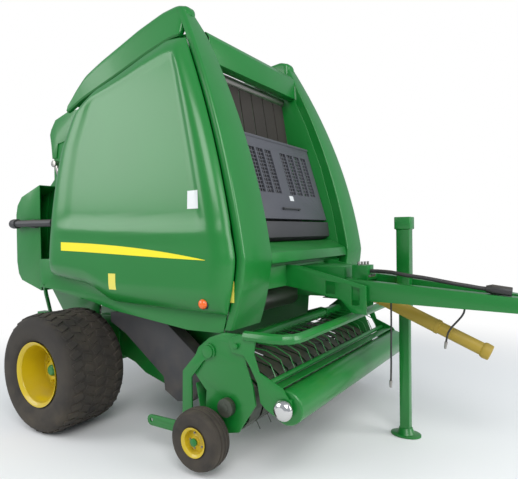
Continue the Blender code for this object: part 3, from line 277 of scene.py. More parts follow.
# colour, second colour, roughness, metallic, coat, grain scale, bump, dust, dust height
LOOKS = {
    "green": ((0.002, 0.150, 0.017), (0.004, 0.180, 0.024), 0.34, 0, 0.20, 160, 0.015, 0.06, 0.6),
    "yellow": ((0.62, 0.46, 0.003), (0.55, 0.39, 0.005), 0.36, 0, 0.35, 160, 0.02, 0.30, 0.5),
    "stripe": ((0.90, 0.78, 0.01), (0.86, 0.72, 0.01), 0.30, 0, 0.4, 160, 0.01, 0.0, 0.5),
    "black_plastic": ((0.030, 0.030, 0.034), (0.050, 0.050, 0.054), 0.52, 0, 0.0, 420, 0.10, 0.30, 0.9),
    "grey_plastic": ((0.058, 0.060, 0.074), (0.085, 0.087, 0.100), 0.45, 0, 0.0, 420, 0.08, 0.25, 0.9),
    "tyre": ((0.016, 0.014, 0.013), (0.040, 0.034, 0.028), 0.85, 0, 0.0, 90, 0.30, 0.20, 0.9),
    "belt": ((0.020, 0.017, 0.014), (0.040, 0.033, 0.027), 0.80, 0, 0.0, 60, 0.35, 0.35, 0.9),
    "steel": ((0.44, 0.43, 0.42), (0.30, 0.27, 0.24), 0.36, 1, 0.0, 220, 0.05, 0.30, 0.9),
    "worn": ((0.085, 0.090, 0.080), (0.040, 0.060, 0.040), 0.42, 0.55, 0.0, 160, 0.06, 0.30, 0.9),
    "chrome": ((0.72, 0.72, 0.73), (0.55, 0.54, 0.52), 0.16, 1, 0.0, 220, 0.02, 0.20, 0.8),
    "ochre_plastic": ((0.44, 0.30, 0.018), (0.34, 0.235, 0.030), 0.52, 0, 0.0, 120, 0.10, 0.30, 0.9),
    "hose": ((0.016, 0.016, 0.018), (0.032, 0.031, 0.030), 0.50, 0, 0.0, 300, 0.10, 0.30, 0.9),
    "dark": ((0.012, 0.012, 0.012), (0.022, 0.020, 0.018), 0.75, 0, 0.0, 80, 0.10, 0.40, 0.9),
    "amber": ((0.90, 0.15, 0.008), (0.80, 0.11, 0.006), 0.18, 0, 0.5, 300, 0.02, 0.05, 0.5),
    "red": ((0.50, 0.012, 0.008), (0.42, 0.010, 0.008), 0.18, 0, 0.5, 300, 0.02, 0.05, 0.5),
    "label": ((0.78, 0.70, 0.10), (0.70, 0.62, 0.10), 0.40, 0, 0.2, 200, 0.01, 0.10, 0.5),
    "white_label": ((0.70, 0.72, 0.72), (0.62, 0.64, 0.64), 0.40, 0, 0.2, 200, 0.01, 0.10, 0.5),
}


def build_finish(name):
    colour, second, roughness, metallic, coat, grain, bump, dust, low = LOOKS[name]
    made = bpy.data.materials.new(name)
    made.use_nodes = True
    tree = made.node_tree
    shader = tree.nodes["Principled BSDF"]
    shader.inputs["Metallic"].default_value = metallic
    shader.inputs["Coat Weight"].default_value = coat
    shader.inputs["Coat Roughness"].default_value = 0.12
    mottle = add(tree, "ShaderNodeGroup", node_tree=MOTTLE)
    settled = add(tree, "ShaderNodeGroup", node_tree=DUST)
    mottle.inputs["Grain Scale"].default_value = grain
    mottle.inputs["Blotch Scale"].default_value = BLOTCH_SCALE
    settled.inputs["Amount"].default_value = dust
    settled.inputs["Low Height"].default_value = low
    paint, dirty = add(tree, "ShaderNodeMix", data_type="RGBA"), add(tree, "ShaderNodeMix", data_type="RGBA")
    paint.inputs[6].default_value = (*colour, 1)
    paint.inputs[7].default_value = (*second, 1)
    tree.links.new(mottle.outputs["Blotch"], paint.inputs[0])
    dirty.inputs[7].default_value = (*DUST_COLOUR, 1)
    tree.links.new(paint.outputs[2], dirty.inputs[6])
    tree.links.new(settled.outputs["Mask"], dirty.inputs[0])
    tree.links.new(dirty.outputs[2], shader.inputs["Base Color"])
    rough = add(tree, "ShaderNodeMapRange")
    rough.inputs["To Min"].default_value = roughness
    rough.inputs["To Max"].default_value = min(1.0, roughness + DUST_ROUGHNESS)
    tree.links.new(settled.outputs["Mask"], rough.inputs["Value"])
    tree.links.new(rough.outputs["Result"], shader.inputs["Roughness"])
    relief = add(tree, "ShaderNodeBump")
    relief.inputs["Strength"].default_value = bump
    relief.inputs["Distance"].default_value = 0.002
    tree.links.new(mottle.outputs["Grain"], relief.inputs["Height"])
    tree.links.new(relief.outputs["Normal"], shader.inputs["Normal"])
    return made


FINISH = {name: build_finish(name) for name in LOOKS}
print("finishes", len(FINISH))

# %% [markdown]
# ## Turning a mesh into a piece
# Every finished piece is linked, painted, shaded smooth with sharp folds kept, and told which
# body carries it. One helper does all four, so no piece is left behind.


# %% Turning a mesh into a piece
SHARP_ANGLE = math.radians(38)
SMALL_GAP = 1e-5


def piece(name, bm, finish, body, replaces=()):
    """Makes the mesh an object, paints it, and lets it ride on a body."""
    mesh = bpy.data.meshes.new(name)
    bm.to_mesh(mesh)
    bm.free()
    mesh.materials.append(FINISH[finish])
    mesh.shade_smooth()
    mesh.set_sharp_from_angle(angle=SHARP_ANGLE)
    made = bpy.data.objects.new(name, mesh)
    bpy.context.scene.collection.objects.link(made)
    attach(made, body)
    if replaces:
        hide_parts(*replaces)
    return made


def add_box(bm, low, high, bevel=0.0):
    """A box between two corners, its edges rounded when bevel is given."""
    low, high = Vector(low), Vector(high)
    made = bmesh.ops.create_cube(bm, size=1)["verts"]
    bmesh.ops.scale(bm, vec=high - low, verts=made)
    bmesh.ops.translate(bm, vec=(low + high) / 2, verts=made)
    if bevel:
        edges = list({e for v in made for e in v.link_edges})
        bmesh.ops.bevel(bm, geom=edges, offset=bevel, offset_type="OFFSET", affect="EDGES", segments=2,
                        profile=0.5, material=-1, clamp_overlap=True)


def add_rod(bm, start, end, radius, sides=24, end_radius=None):
    """A round bar between two points, or a cone when end_radius is given."""
    start, end = Vector(start), Vector(end)
    turn = (end - start).to_track_quat("Z", "Y").to_matrix().to_4x4()
    place = Matrix.Translation((start + end) / 2) @ turn
    top = radius if end_radius is None else end_radius
    bmesh.ops.create_cone(bm, cap_ends=True, segments=sides, radius1=radius, radius2=top,
                          depth=(end - start).length, matrix=place)


def add_turned(bm, profile, centre, steps=64):
    """Spins a profile of (radius, along) about the line along Y through centre."""
    corners = [bm.verts.new(centre + Vector((r, y, 0))) for r, y in profile]
    edges = [bm.edges.new(pair) for pair in zip(corners, corners[1:])]
    if profile[0][0] > 1e-6 or profile[-1][0] > 1e-6:
        edges.append(bm.edges.new((corners[-1], corners[0])))
    bmesh.ops.spin(bm, geom=corners + edges, cent=centre, axis=(0, 1, 0), angle=math.tau, steps=steps,
                   use_merge=True)
    bmesh.ops.remove_doubles(bm, verts=bm.verts, dist=SMALL_GAP)


def outward(bm):
    """Turns every face of a closed shape outwards."""
    bmesh.ops.recalc_face_normals(bm, faces=bm.faces)


def curve_through(points, parts):
    """Points on a Catmull-Rom curve through the given ones."""
    knots = [Vector(p) for p in points]
    knots = [knots[0] * 2 - knots[1], *knots, knots[-1] * 2 - knots[-2]]
    made = []
    for a, b, c, d in zip(knots, knots[1:], knots[2:], knots[3:]):
        for i in range(parts):
            t = i / parts
            made.append(0.5 * (2 * b + (c - a) * t + (2 * a - 5 * b + 4 * c - d) * t * t
                               + (3 * b - a - 3 * c + d) * t ** 3))
    return [*made, knots[-2]]


print("helpers ready")

# %% [markdown]
# ## Hoses and cables
# The hydraulic hoses run in one sleeve along the drawbar and end in a moulded boot. Two short
# cables hang under the drawbar. Each is a poly curve along the same route as its solid in the
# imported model, so its length is real.

# %% Hoses and cables
# points are (x, y, z) from the wheel axle
HOSE_ROUTE = ((2.1003, -0.110, 1.165), (2.13, -0.110, 1.165), (2.16, -0.110, 1.165), (2.25, -0.128, 1.162),
              (2.35, -0.148, 1.148), (2.45, -0.150, 1.138), (2.55, -0.142, 1.122), (2.64, -0.132, 1.106),
              (2.72, -0.122, 1.0945), (2.78, -0.114, 1.0845), (2.815, -0.110, 1.0815))
LIFT_ROUTE = ((2.270, -0.205, 0.9779), (2.270, -0.205, 0.90), (2.270, -0.2052, 0.82), (2.269, -0.2055, 0.74),
              (2.268, -0.2055, 0.66), (2.267, -0.205, 0.58), (2.266, -0.205, 0.52), (2.264, -0.205, 0.47))
GUARD_ROUTE = ((2.700, -0.135, 0.9580), (2.696, -0.133, 0.935), (2.680, -0.127, 0.905),
               (2.650, -0.116, 0.868), (2.618, -0.106, 0.830), (2.598, -0.101, 0.795),
               (2.588, -0.099, 0.760), (2.584, -0.099, 0.735))
# name: route, radius, far end, stiffness, lay, pieces on it
CORDS = {
    "hose_bundle": (HOSE_ROUTE, 0.013, "plug", "stiff", "loose", ("hose_boot",)),
    "lift_cable": (LIFT_ROUTE, 0.006, "connector", "medium", "hanging", ("lift_cable_clip",)),
    "guard_cable": (GUARD_ROUTE, 0.006, "connector", "medium", "hanging", ("guard_cable_clip",)),
}
for name, (route, radius, far_end, stiffness, lay, ends) in CORDS.items():
    points = [at(*p) for p in curve_through(route, 2)]
    data = bpy.data.curves.new(name + "_line", "CURVE")
    data.dimensions = "3D"
    data.bevel_depth = radius
    data.bevel_resolution = 4
    data.use_fill_caps = True
    spline = data.splines.new("POLY")
    spline.points.add(len(points) - 1)
    for knot, place in zip(spline.points, points):
        knot.co = (*place, 1)
    data.materials.append(FINISH["hose"])
    line = bpy.data.objects.new(name + "_line", data)
    bpy.context.scene.collection.objects.link(line)
    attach(line, "baler")
    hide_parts(name)

# %% [markdown]
# ## Folded and welded sheet
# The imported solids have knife-sharp folds. Real folds are rounded and catch a line of light.
# Each sheet or bar that keeps its own shape is copied, its flat faces are merged, and its folds are
# bevelled, so one loop finishes all of them.

# %% Folded and welded sheet
BODY_OF = {node: body for body, nodes in frame["record"]["behaviour"]["bodies"].items() for node in nodes}
# nodes that get a piece of their own further on
SPECIAL = {"stripper_bands", "tine_reel", "windguard_roller", "front_belts", "gate_belts", "drive_shaft",
           "hose_bundle", "lift_cable", "guard_cable"}
for side in SIDES:
    SPECIAL |= {kind + "_" + word(side) for kind in ("tyre", "rim", "gauge_tyre", "gauge_rim", "side_door",
                                                    "side_hump", "front_column", "rear_lamp")}
FOLD_ANGLE = math.radians(24)


def softened(node, radius):
    """A copy of a node with its flat faces merged and its folds rounded."""
    bm = bmesh.new()
    bm.from_mesh(NODES[node].data)
    bmesh.ops.remove_doubles(bm, verts=bm.verts, dist=2e-5)
    bmesh.ops.dissolve_limit(bm, angle_limit=math.radians(1), verts=bm.verts, edges=bm.edges)
    folds = [e for e in bm.edges if len(e.link_faces) == 2 and e.calc_face_angle(0) > FOLD_ANGLE]
    bmesh.ops.bevel(bm, geom=folds, offset=radius, offset_type="OFFSET", affect="EDGES", segments=2,
                    profile=0.5, material=-1, clamp_overlap=True)
    return bm


PLAIN_FOLD = 0.0022
FOLD_RADIUS = {"gate_shield": 0.005, "gate_hood": 0.005, "cross_panel": 0.005, "gearbox": 0.012,
               "jack_tube": 0.006, "drawbar": 0.006, "chain_cover_right": 0.014, "chain_cover_left": 0.014,
               "net_cover": 0.002}
for node in sorted(set(NODES) - SPECIAL):
    skin = softened(node, FOLD_RADIUS.get(node, PLAIN_FOLD))
    piece(node + "_skin", skin, SLOTS[node], BODY_OF[node], (node,))
print("softened", len(set(NODES) - SPECIAL))

# %% [markdown]
# ## Side doors
# Each door is one large moulding: deepest along its middle, with a wide field pressed in above a
# ridge, and a tapering yellow stripe on the ridge. It is swept from rows that follow the body's
# outline, closely enough that light runs over it without a break.

# %% The door's surface
FOLD_Z = 1.28
DOOR_BULGE = 0.095
FIELD_Z, FIELD_DEPTH = 1.47, 0.016
RIDGE_HEIGHT = 0.006
# x, height of the crease between side door and hump
CREASE = ((-0.08, 2.40), (0.09, 2.481), (0.434, 2.592), (0.744, 2.700), (0.98, 2.765), (1.12, 2.755),
          (1.20, 2.725))
# x, height of the hump's top
HUMP_TOP = ((-0.085, 2.44), (-0.04, 2.55), (0.086, 2.683), (0.25, 2.765), (0.432, 2.840), (0.62, 2.920),
            (0.843, 2.993), (0.983, 3.010), (1.035, 2.985))
# height, x of the door's rear edge
DOOR_REAR = ((1.10, -0.175), (1.318, -0.160), (1.593, -0.126), (1.863, -0.080), (2.090, -0.023),
             (2.362, 0.107), (2.48, 0.20))
# share of the way forward, height of the door's foot
DOOR_FOOT = ((0.0, 1.13), (0.28, 1.07), (0.42, 0.965), (1.0, 0.945))


def along(table, value):
    """Reading of a table of (key, result) rows, rounded at its knots so that no kink shows."""
    def straight(key):
        if key <= table[0][0]:
            return table[0][1]
        for (k0, r0), (k1, r1) in zip(table, table[1:]):
            if key <= k1:
                return r0 + (r1 - r0) * (key - k0) / (k1 - k0)
        return table[-1][1]
    reach = (table[-1][0] - table[0][0]) * 0.035
    weights = ((-2, 1), (-1, 4), (0, 6), (1, 4), (2, 1))
    return sum(w * straight(value + step * reach / 2) for step, w in weights) / 16


def side_y(z):
    """Half width of the body at height z."""
    return 0.948 - 0.060 * max(0.0, z - FOLD_Z) ** 2


def front_x(z):
    """How far forward the front columns reach at height z."""
    if z >= FOLD_Z:
        rise = z - FOLD_Z
        return 1.636 - 0.148 * rise - 0.121 * rise * rise
    drop = FOLD_Z - z
    return 1.636 - 0.08 * drop - 0.33 * drop * drop


def ease(value):
    """A smooth step from 0 to 1."""
    value = max(0.0, min(1.0, value))
    return value * value * (3 - 2 * value)


def rounded(share, width):
    """How far a surface has risen at a share of the way in from an edge, round like a rolled rim."""
    t = max(0.0, min(1.0, share / width))
    return math.sqrt(1 - (1 - t) ** 2)


def door_point(u, v):
    """A place on the left door: u runs from rear to front, v from the foot to the crease."""
    foot = along(DOOR_FOOT, u)
    crest = along(CREASE, 0.17 + u * 0.95) - 0.030 - 0.10 * max(0.0, (0.12 - u) / 0.12)
    z = foot + (crest - foot) * v
    rear = along(DOOR_REAR, z)
    x = rear + (front_x(z) - 0.050 - rear) * u
    rim = min(rounded(u, 0.09), rounded(1 - u, 0.07)) * min(rounded(v, 0.09), rounded(1 - v, 0.11))
    y = side_y(z) + 0.012 + DOOR_BULGE * rim
    low_edge = FIELD_Z + 0.05 * (1 - u) ** 2
    field = ease((z - low_edge) / 0.05) * ease((u - 0.13) / 0.05)
    field *= ease((0.93 - u) / 0.04) * ease((0.94 - v) / 0.04)
    ridge = ease((z - low_edge + 0.10) / 0.06) * ease((low_edge - z + 0.02) / 0.04)
    ridge *= ease((u - 0.04) / 0.10)
    return Vector((x, y - FIELD_DEPTH * field + RIDGE_HEIGHT * ridge, z))


def door_surface(x, z):
    """The door's half width at a place on it, found by stepping u and v towards that place."""
    u, v = 0.5, 0.5
    for _ in range(30):
        here = door_point(u, v)
        u = max(0.0, min(1.0, u + (x - here.x) / 1.5))
        v = max(0.0, min(1.0, v + (z - here.z) / 1.7))
    return door_point(u, v).y


print("door at its middle", [round(c, 3) for c in door_point(0.5, 0.5)])


# %% [markdown]
# ## Side doors, stripes and labels
# Each door is a grid of points on the surface above, pressed to a wall. The stripe and the blank
# labels are thin sheets that follow the same surface, so they always lie on the door.

# %% Side doors, stripes and labels
def add_sheet(bm, rows, thickness, side=1):
    """A wall swept through rows of points from the wheel axle, mirrored for the right side."""
    grid = [[bm.verts.new(at(p[0], side * p[1], p[2])) for p in row] for row in rows]
    faces = []
    for upper, lower in zip(grid, grid[1:]):
        for i in range(len(upper) - 1):
            faces.append(bm.faces.new((upper[i], upper[i + 1], lower[i + 1], lower[i])))
    bmesh.ops.recalc_face_normals(bm, faces=faces)
    if sum(f.normal.y * side for f in faces) < 0:
        bmesh.ops.reverse_faces(bm, faces=faces)
    bmesh.ops.solidify(bm, geom=faces, thickness=thickness)


DOOR_COLUMNS, DOOR_ROWS = 64, 72
STRIPE_REAR, STRIPE_TIP, STRIPE_STEPS = 0.07, 1.435, 48
ACROSS = (-1, -0.5, 0, 0.5, 1)
for side in SIDES:
    body = "door_" + word(side)
    bm = bmesh.new()
    us = [0.5 - 0.5 * math.cos(math.pi * i / DOOR_COLUMNS) for i in range(DOOR_COLUMNS + 1)]
    vs = [0.5 - 0.5 * math.cos(math.pi * i / DOOR_ROWS) for i in range(DOOR_ROWS + 1)]
    add_sheet(bm, [[door_point(u, v) for u in us] for v in vs], 0.006, side)
    piece("door_panel_" + word(side), bm, "green", body, ("side_door_" + word(side),))
    bm = bmesh.new()
    stripe = []
    for i in range(STRIPE_STEPS + 1):
        share = i / STRIPE_STEPS
        x = STRIPE_REAR + (STRIPE_TIP - STRIPE_REAR) * share
        middle_z = 1.352 - 0.030 * share - 0.045 * share * share
        half = 0.030 * (1 - share ** 3) + 0.001
        row = [middle_z + half * k for k in ACROSS]
        stripe.append([(x, door_surface(x, z) + 0.0015, z) for z in row])
    add_sheet(bm, stripe, 0.001, side)
    piece("door_stripe_" + word(side), bm, "stripe", body)
    # name, x, z, half width, half height, finish
    for name, x, z, wide, tall, finish in (("lower", 0.62, 1.115, 0.035, 0.055, "label"),
                                           ("upper", 1.33, 1.64, 0.045, 0.055, "white_label")):
        bm = bmesh.new()
        xs = [x + wide * k for k in ACROSS]
        zs = [z + tall * k for k in ACROSS]
        add_sheet(bm, [[(a, door_surface(a, b) + 0.0012, b) for a in xs] for b in zs], 0.0008, side)
        piece("door_plate_" + name + "_" + word(side), bm, finish, body)
print("door points", (DOOR_COLUMNS + 1) * (DOOR_ROWS + 1))

# %% [markdown]
# ## Humps and front columns
# The hump closes the body's top and the column frames the opening. Both are rounded pressings,
# so they are swept from cross sections with an arc at each corner.


# %% Humps and front columns
def arc(centre, radius, start, stop, count=5):
    """Points on a round corner, between two angles in degrees."""
    turns = [math.radians(start + (stop - start) * i / count) for i in range(count + 1)]
    return [(centre[0] + radius * math.cos(a), centre[1] + radius * math.sin(a)) for a in turns]


def hump_section(x):
    """Points (y, z) over the hump, from its outer lower edge to its inner one."""
    low, top = along(CREASE, x) + 0.004, along(HUMP_TOP, x)
    tall = max(top - low, 0.03)
    r = min(0.055, tall * 0.45)
    outer, inner = side_y(top) + 0.004, 0.640
    edge = side_y(low)
    section = [(edge - 0.030, low - 0.012), (edge - 0.004, low - 0.008), (edge + 0.004, low + 0.004)]
    section += arc((outer - r, top - r), r, 0, 90)
    section += arc((inner + 0.030, top - 0.030), 0.030, 90, 180)
    section.append((inner, top - min(0.12, tall * 0.8)))
    return section


COLUMN_FOOT_Z, COLUMN_TOP_Z = 0.85, 2.97
# where the hump's straight sweep ends, and how far its round nose goes on over the column's head
HUMP_REAR, HUMP_FRONT, NOSE_DEPTH = -0.083, 1.030, 0.040
# the lining stands behind the gap between door and hump
LINING_REAR, LINING_FRONT = 0.10, 1.12
PRESSED_SHEET = 0.005


def column_section(z):
    """Points (x, y) round the column at one height, from the inner flange round to the outer one."""
    x, y = front_x(z), side_y(z)
    taper = max(0.0, (z - 2.80) / (COLUMN_TOP_Z - 2.80))
    inner = 0.6215 + 0.048 * taper
    section = [(x - 0.085, inner), (x - 0.020, inner)]
    section += [(x - 0.010 + a, inner + 0.010 - b) for a, b in arc((0, 0), 0.010, 90, 0, 3)]
    section += arc((x - 0.020, y - 0.023), 0.020, 0, 90)
    section.append((x - 0.050, y - 0.003))
    return section


for side in SIDES:
    bm = bmesh.new()
    stations = [HUMP_REAR + (HUMP_FRONT - HUMP_REAR) * i / 48 for i in range(49)]
    rows = [[(x, y, z) for y, z in hump_section(x)] for x in stations]
    last = hump_section(HUMP_FRONT)
    centre_y = sum(y for y, z in last) / len(last)
    centre_z = sum(z for y, z in last) / len(last)
    for step in range(1, 7):
        turn = math.radians(15 * step)
        share = max(math.cos(turn), 0.01)
        x = HUMP_FRONT + NOSE_DEPTH * math.sin(turn)
        rows.append([(x, centre_y + (y - centre_y) * share, centre_z + (z - centre_z) * share)
                     for y, z in last])
    add_sheet(bm, rows, PRESSED_SHEET, side)
    piece("hump_" + word(side), bm, "green", "baler", ("side_hump_" + word(side),))
    bm = bmesh.new()
    lining = []
    for x in [LINING_REAR + (LINING_FRONT - LINING_REAR) * i / 24 for i in range(25)]:
        low = along(CREASE, x)
        lining.append([(x, side_y(low) - 0.045, low + rise) for rise in (-0.110, -0.045, 0.020)])
    add_sheet(bm, lining, 0.003, side)
    piece("hump_lining_" + word(side), bm, "green", "baler")
    bm = bmesh.new()
    heights = [COLUMN_FOOT_Z + (COLUMN_TOP_Z - COLUMN_FOOT_Z) * i / 60 for i in range(61)]
    rows = [[(x, y, z) for x, y in column_section(z)] for z in heights]
    add_sheet(bm, rows, PRESSED_SHEET, side)
    foot = front_x(COLUMN_FOOT_Z)
    ys = sorted((side * 0.625, side * 0.930))
    add_box(bm, at(foot - 0.15, ys[0], COLUMN_FOOT_Z), at(foot - 0.008, ys[1], COLUMN_FOOT_Z + 0.008), 0.002)
    piece("column_" + word(side), bm, "green", "baler", ("front_column_" + word(side),))
    bm = bmesh.new()
    x, z = front_x(1.09) - 0.075, 1.085
    ys = sorted((side * 0.9478, side * 0.9490))
    add_box(bm, at(x - 0.032, ys[0], z - 0.065), at(x + 0.032, ys[1], z + 0.065))
    piece("column_plate_" + word(side), bm, "label", "baler")
print("humps and columns done")

# %% [markdown]
# ## Wheels
# A tyre and a rim are turned shapes, so each is one profile spun about the axle. The profile's
# corners are cut by a small round first. The tread is a ring of like blocks, all made as cubes,
# then bevelled together in one go.


# %% Wheels
def eased(profile, cut):
    """The profile with every inner corner swapped for three points of a small round."""
    made = [profile[0]]
    for before, here, after in zip(profile, profile[1:], profile[2:]):
        here = Vector(here)
        reach = min(cut, (Vector(before) - here).length * 0.45, (Vector(after) - here).length * 0.45)
        a = here + (Vector(before) - here).normalized() * reach
        b = here + (Vector(after) - here).normalized() * reach
        made += [tuple(a), tuple((a + b) * 0.25 + here * 0.5), tuple(b)]
    made.append(profile[-1])
    return made


def add_tread(bm, centre, radius, rows, count, size):
    """Blocks in rows of (offset along the axle, tilt, share of a pitch turned on, skew in degrees)."""
    made = []
    for offset, tilt, share, skew in rows:
        for i in range(count):
            turn = math.tau * (i + share) / count
            place = (Matrix.Translation(centre) @ Matrix.Rotation(turn, 4, "Y")
                     @ Matrix.Translation((radius, offset, 0))
                     @ Matrix.Rotation(math.radians(tilt), 4, "Z")
                     @ Matrix.Rotation(math.radians(skew), 4, "X"))
            block = bmesh.ops.create_cube(bm, size=1)["verts"]
            bmesh.ops.scale(bm, vec=size, verts=block)
            bmesh.ops.transform(bm, matrix=place, verts=block)
            made += block
    edges = list({e for v in made for e in v.link_edges})
    bmesh.ops.bevel(bm, geom=edges, offset=0.004, offset_type="OFFSET", affect="EDGES", segments=1,
                    profile=0.5, material=-1, clamp_overlap=True)


# each profile is a list of (radius, place along the axle)
TYRE_PROFILE = ((0.216, -0.195), (0.235, -0.216), (0.262, -0.236), (0.300, -0.243), (0.360, -0.245),
                (0.396, -0.236), (0.412, -0.215), (0.424, -0.165), (0.424, 0.165), (0.412, 0.215),
                (0.396, 0.236), (0.360, 0.245), (0.300, 0.243), (0.262, 0.236), (0.235, 0.216),
                (0.216, 0.195))
TREAD_ROWS = ((-0.172, -9, 0.5, 22), (-0.086, -2, 0.0, -22), (0.0, 0, 0.5, 22), (0.086, 2, 0.0, -22),
              (0.172, 9, 0.5, 22))
RIM_PROFILE = ((0.2157, -0.205), (0.2345, -0.2265), (0.2345, -0.232), (0.2057, -0.212), (0.2057, 0.000),
               (0.175, 0.000), (0.120, 0.046), (0.075, 0.052), (0.068, -0.020), (0.0368, -0.020),
               (0.0368, 0.088), (0.072, 0.088), (0.076, 0.064), (0.120, 0.060), (0.172, 0.016),
               (0.2057, 0.018), (0.2057, 0.212), (0.2345, 0.232), (0.2345, 0.2265), (0.2157, 0.205))
GAUGE_TYRE_PROFILE = ((0.078, -0.058), (0.100, -0.068), (0.140, -0.074), (0.164, -0.068), (0.176, -0.055),
                      (0.182, -0.036), (0.176, -0.034), (0.176, -0.026), (0.184, -0.024), (0.185, -0.008),
                      (0.178, -0.006), (0.178, 0.006), (0.185, 0.008), (0.184, 0.024), (0.176, 0.026),
                      (0.176, 0.034), (0.182, 0.036), (0.176, 0.055), (0.164, 0.068), (0.140, 0.074),
                      (0.100, 0.068), (0.078, 0.058))
GAUGE_RIM_PROFILE = ((0.0777, -0.060), (0.089, -0.070), (0.089, -0.074), (0.070, -0.062), (0.070, 0.012),
                     (0.030, 0.025), (0.030, -0.026), (0.0148, -0.026), (0.0148, 0.052), (0.026, 0.052),
                     (0.030, 0.038), (0.070, 0.026), (0.070, 0.062), (0.089, 0.074), (0.089, 0.070),
                     (0.0777, 0.060))


def mirrored_profile(profile, side):
    return [(r, side * y) for r, y in profile]


def add_bolts(bm, centre, side, ring, count, near, far, radius):
    """Hexagon heads with a stud end, standing out along the axle."""
    for i in range(count):
        turn = math.tau * (i + 0.5) / count
        spot = centre + Vector((ring * math.cos(turn), 0, ring * math.sin(turn)))
        lift = Vector((0, side, 0))
        add_rod(bm, spot + lift * near, spot + lift * far, radius, 6)
        add_rod(bm, spot + lift * far, spot + lift * (far + radius * 0.7), radius * 0.5, 10)


for side in SIDES:
    hub = at(0, side * 1.005, 0.433)
    wheel_body = "wheel_" + word(side)
    bm = bmesh.new()
    add_turned(bm, eased(TYRE_PROFILE, 0.010), hub, 96)
    outward(bm)
    add_tread(bm, hub, 0.4205, TREAD_ROWS, 36, (0.017, 0.072, 0.052))
    piece("tyre_tread_" + word(side), bm, "tyre", wheel_body, ("tyre_" + word(side),))
    bm = bmesh.new()
    add_turned(bm, eased(mirrored_profile(RIM_PROFILE, side), 0.005), hub, 96)
    outward(bm)
    add_bolts(bm, hub, side, 0.098, 8, 0.055, 0.075, 0.012)
    valve = hub + Vector((0.150, 0, 0.06))
    add_rod(bm, valve + Vector((0, side * 0.030, 0)), valve + Vector((0, side * 0.075, 0)), 0.006, 10)
    piece("rim_dish_" + word(side), bm, "yellow", wheel_body, ("rim_" + word(side),))
    bm = bmesh.new()
    cap = [(0.0, 0.116), (0.030, 0.114), (0.040, 0.104), (0.041, 0.0885), (0.0, 0.0885)]
    add_turned(bm, mirrored_profile(cap, side), hub, 48)
    outward(bm)
    piece("hub_cap_" + word(side), bm, "green", wheel_body)
    hub = at(1.385, side * 1.062, 0.212)
    wheel_body = "gauge_wheel_" + word(side)
    bm = bmesh.new()
    add_turned(bm, eased(GAUGE_TYRE_PROFILE, 0.003), hub, 72)
    outward(bm)
    piece("gauge_tyre_ribs_" + word(side), bm, "tyre", wheel_body, ("gauge_tyre_" + word(side),))
    bm = bmesh.new()
    add_turned(bm, eased(mirrored_profile(GAUGE_RIM_PROFILE, side), 0.002), hub, 64)
    outward(bm)
    piece("gauge_dish_" + word(side), bm, "yellow", wheel_body, ("gauge_rim_" + word(side),))
    bm = bmesh.new()
    add_bolts(bm, hub, side, 0.048, 5, 0.026, 0.035, 0.008)
    piece("gauge_bolts_" + word(side), bm, "steel", wheel_body)
print("wheels done")

# %% [markdown]
# ## Belts and rollers
# The chamber is closed by a set of flat belts side by side. Each is a strip of its own with a
# dark gap beside it, which is what the eye reads as belts.

# %% Belts and rollers
CHAMBER_HALF = 0.6077
BELT_COUNT = 7
BELT_GAP = 0.016


def belt_strips(profile, thickness, name, node, body):
    """Strips side by side along one path in (x, z)."""
    pitch = 2 * CHAMBER_HALF / BELT_COUNT
    bm = bmesh.new()
    for i in range(BELT_COUNT):
        low = -CHAMBER_HALF + i * pitch + BELT_GAP / 2
        high = low + pitch - BELT_GAP
        ys = [low + (high - low) * k / 6 for k in range(7)]
        add_sheet(bm, [[(x, y, z) for y in ys] for x, z in profile], thickness)
    piece(name, bm, "belt", body, (node,))


front_run = [(1.012 + 0.15 * k / 10, 2.60 - 0.98 * k / 10) for k in range(11)]
belt_strips(front_run, 0.009, "front_belt_strips", "front_belts", "baler")
GATE_RUN = ((-0.585, 2.30), (-0.612, 2.22), (-0.612, 1.94), (-0.80, 1.68), (-0.835, 1.45), (-0.80, 1.15),
            (-0.62, 0.88), (-0.34, 0.66), (-0.12, 0.69))
belt_strips(GATE_RUN, 0.010, "gate_belt_strips", "gate_belts", "tailgate")
bm = bmesh.new()
for x, z, radius in ((0.995, 2.615, 0.040), (1.050, 1.60, 0.035), (1.030, 2.10, 0.030)):
    add_rod(bm, at(x, -0.606, z), at(x, 0.606, z), radius, 32)
piece("front_idlers", bm, "steel", "baler")
print("belts done")

# %% [markdown]
# ## Net cover
# The grey cover's eight windows are filled with a moulded lattice. Its bars are set out along the
# cover's slope with the same numbers as the windows, so they always meet their edges.

# %% Net cover's lattice
BARS_DOWN, LATTICE = 12, -0.010
COVER_TOP, COVER_FOOT = Vector((1.267, 0, 2.146)), Vector((1.452, 0, 1.535))
slope = (COVER_FOOT - COVER_TOP).normalized()
lift = Vector((-slope.z, 0, slope.x))


def cover_point(down, y, proud):
    """A place on the cover: down its slope, across, and proud of its face."""
    spot = COVER_TOP + slope * down + lift * proud
    return at(spot.x, y, spot.z)


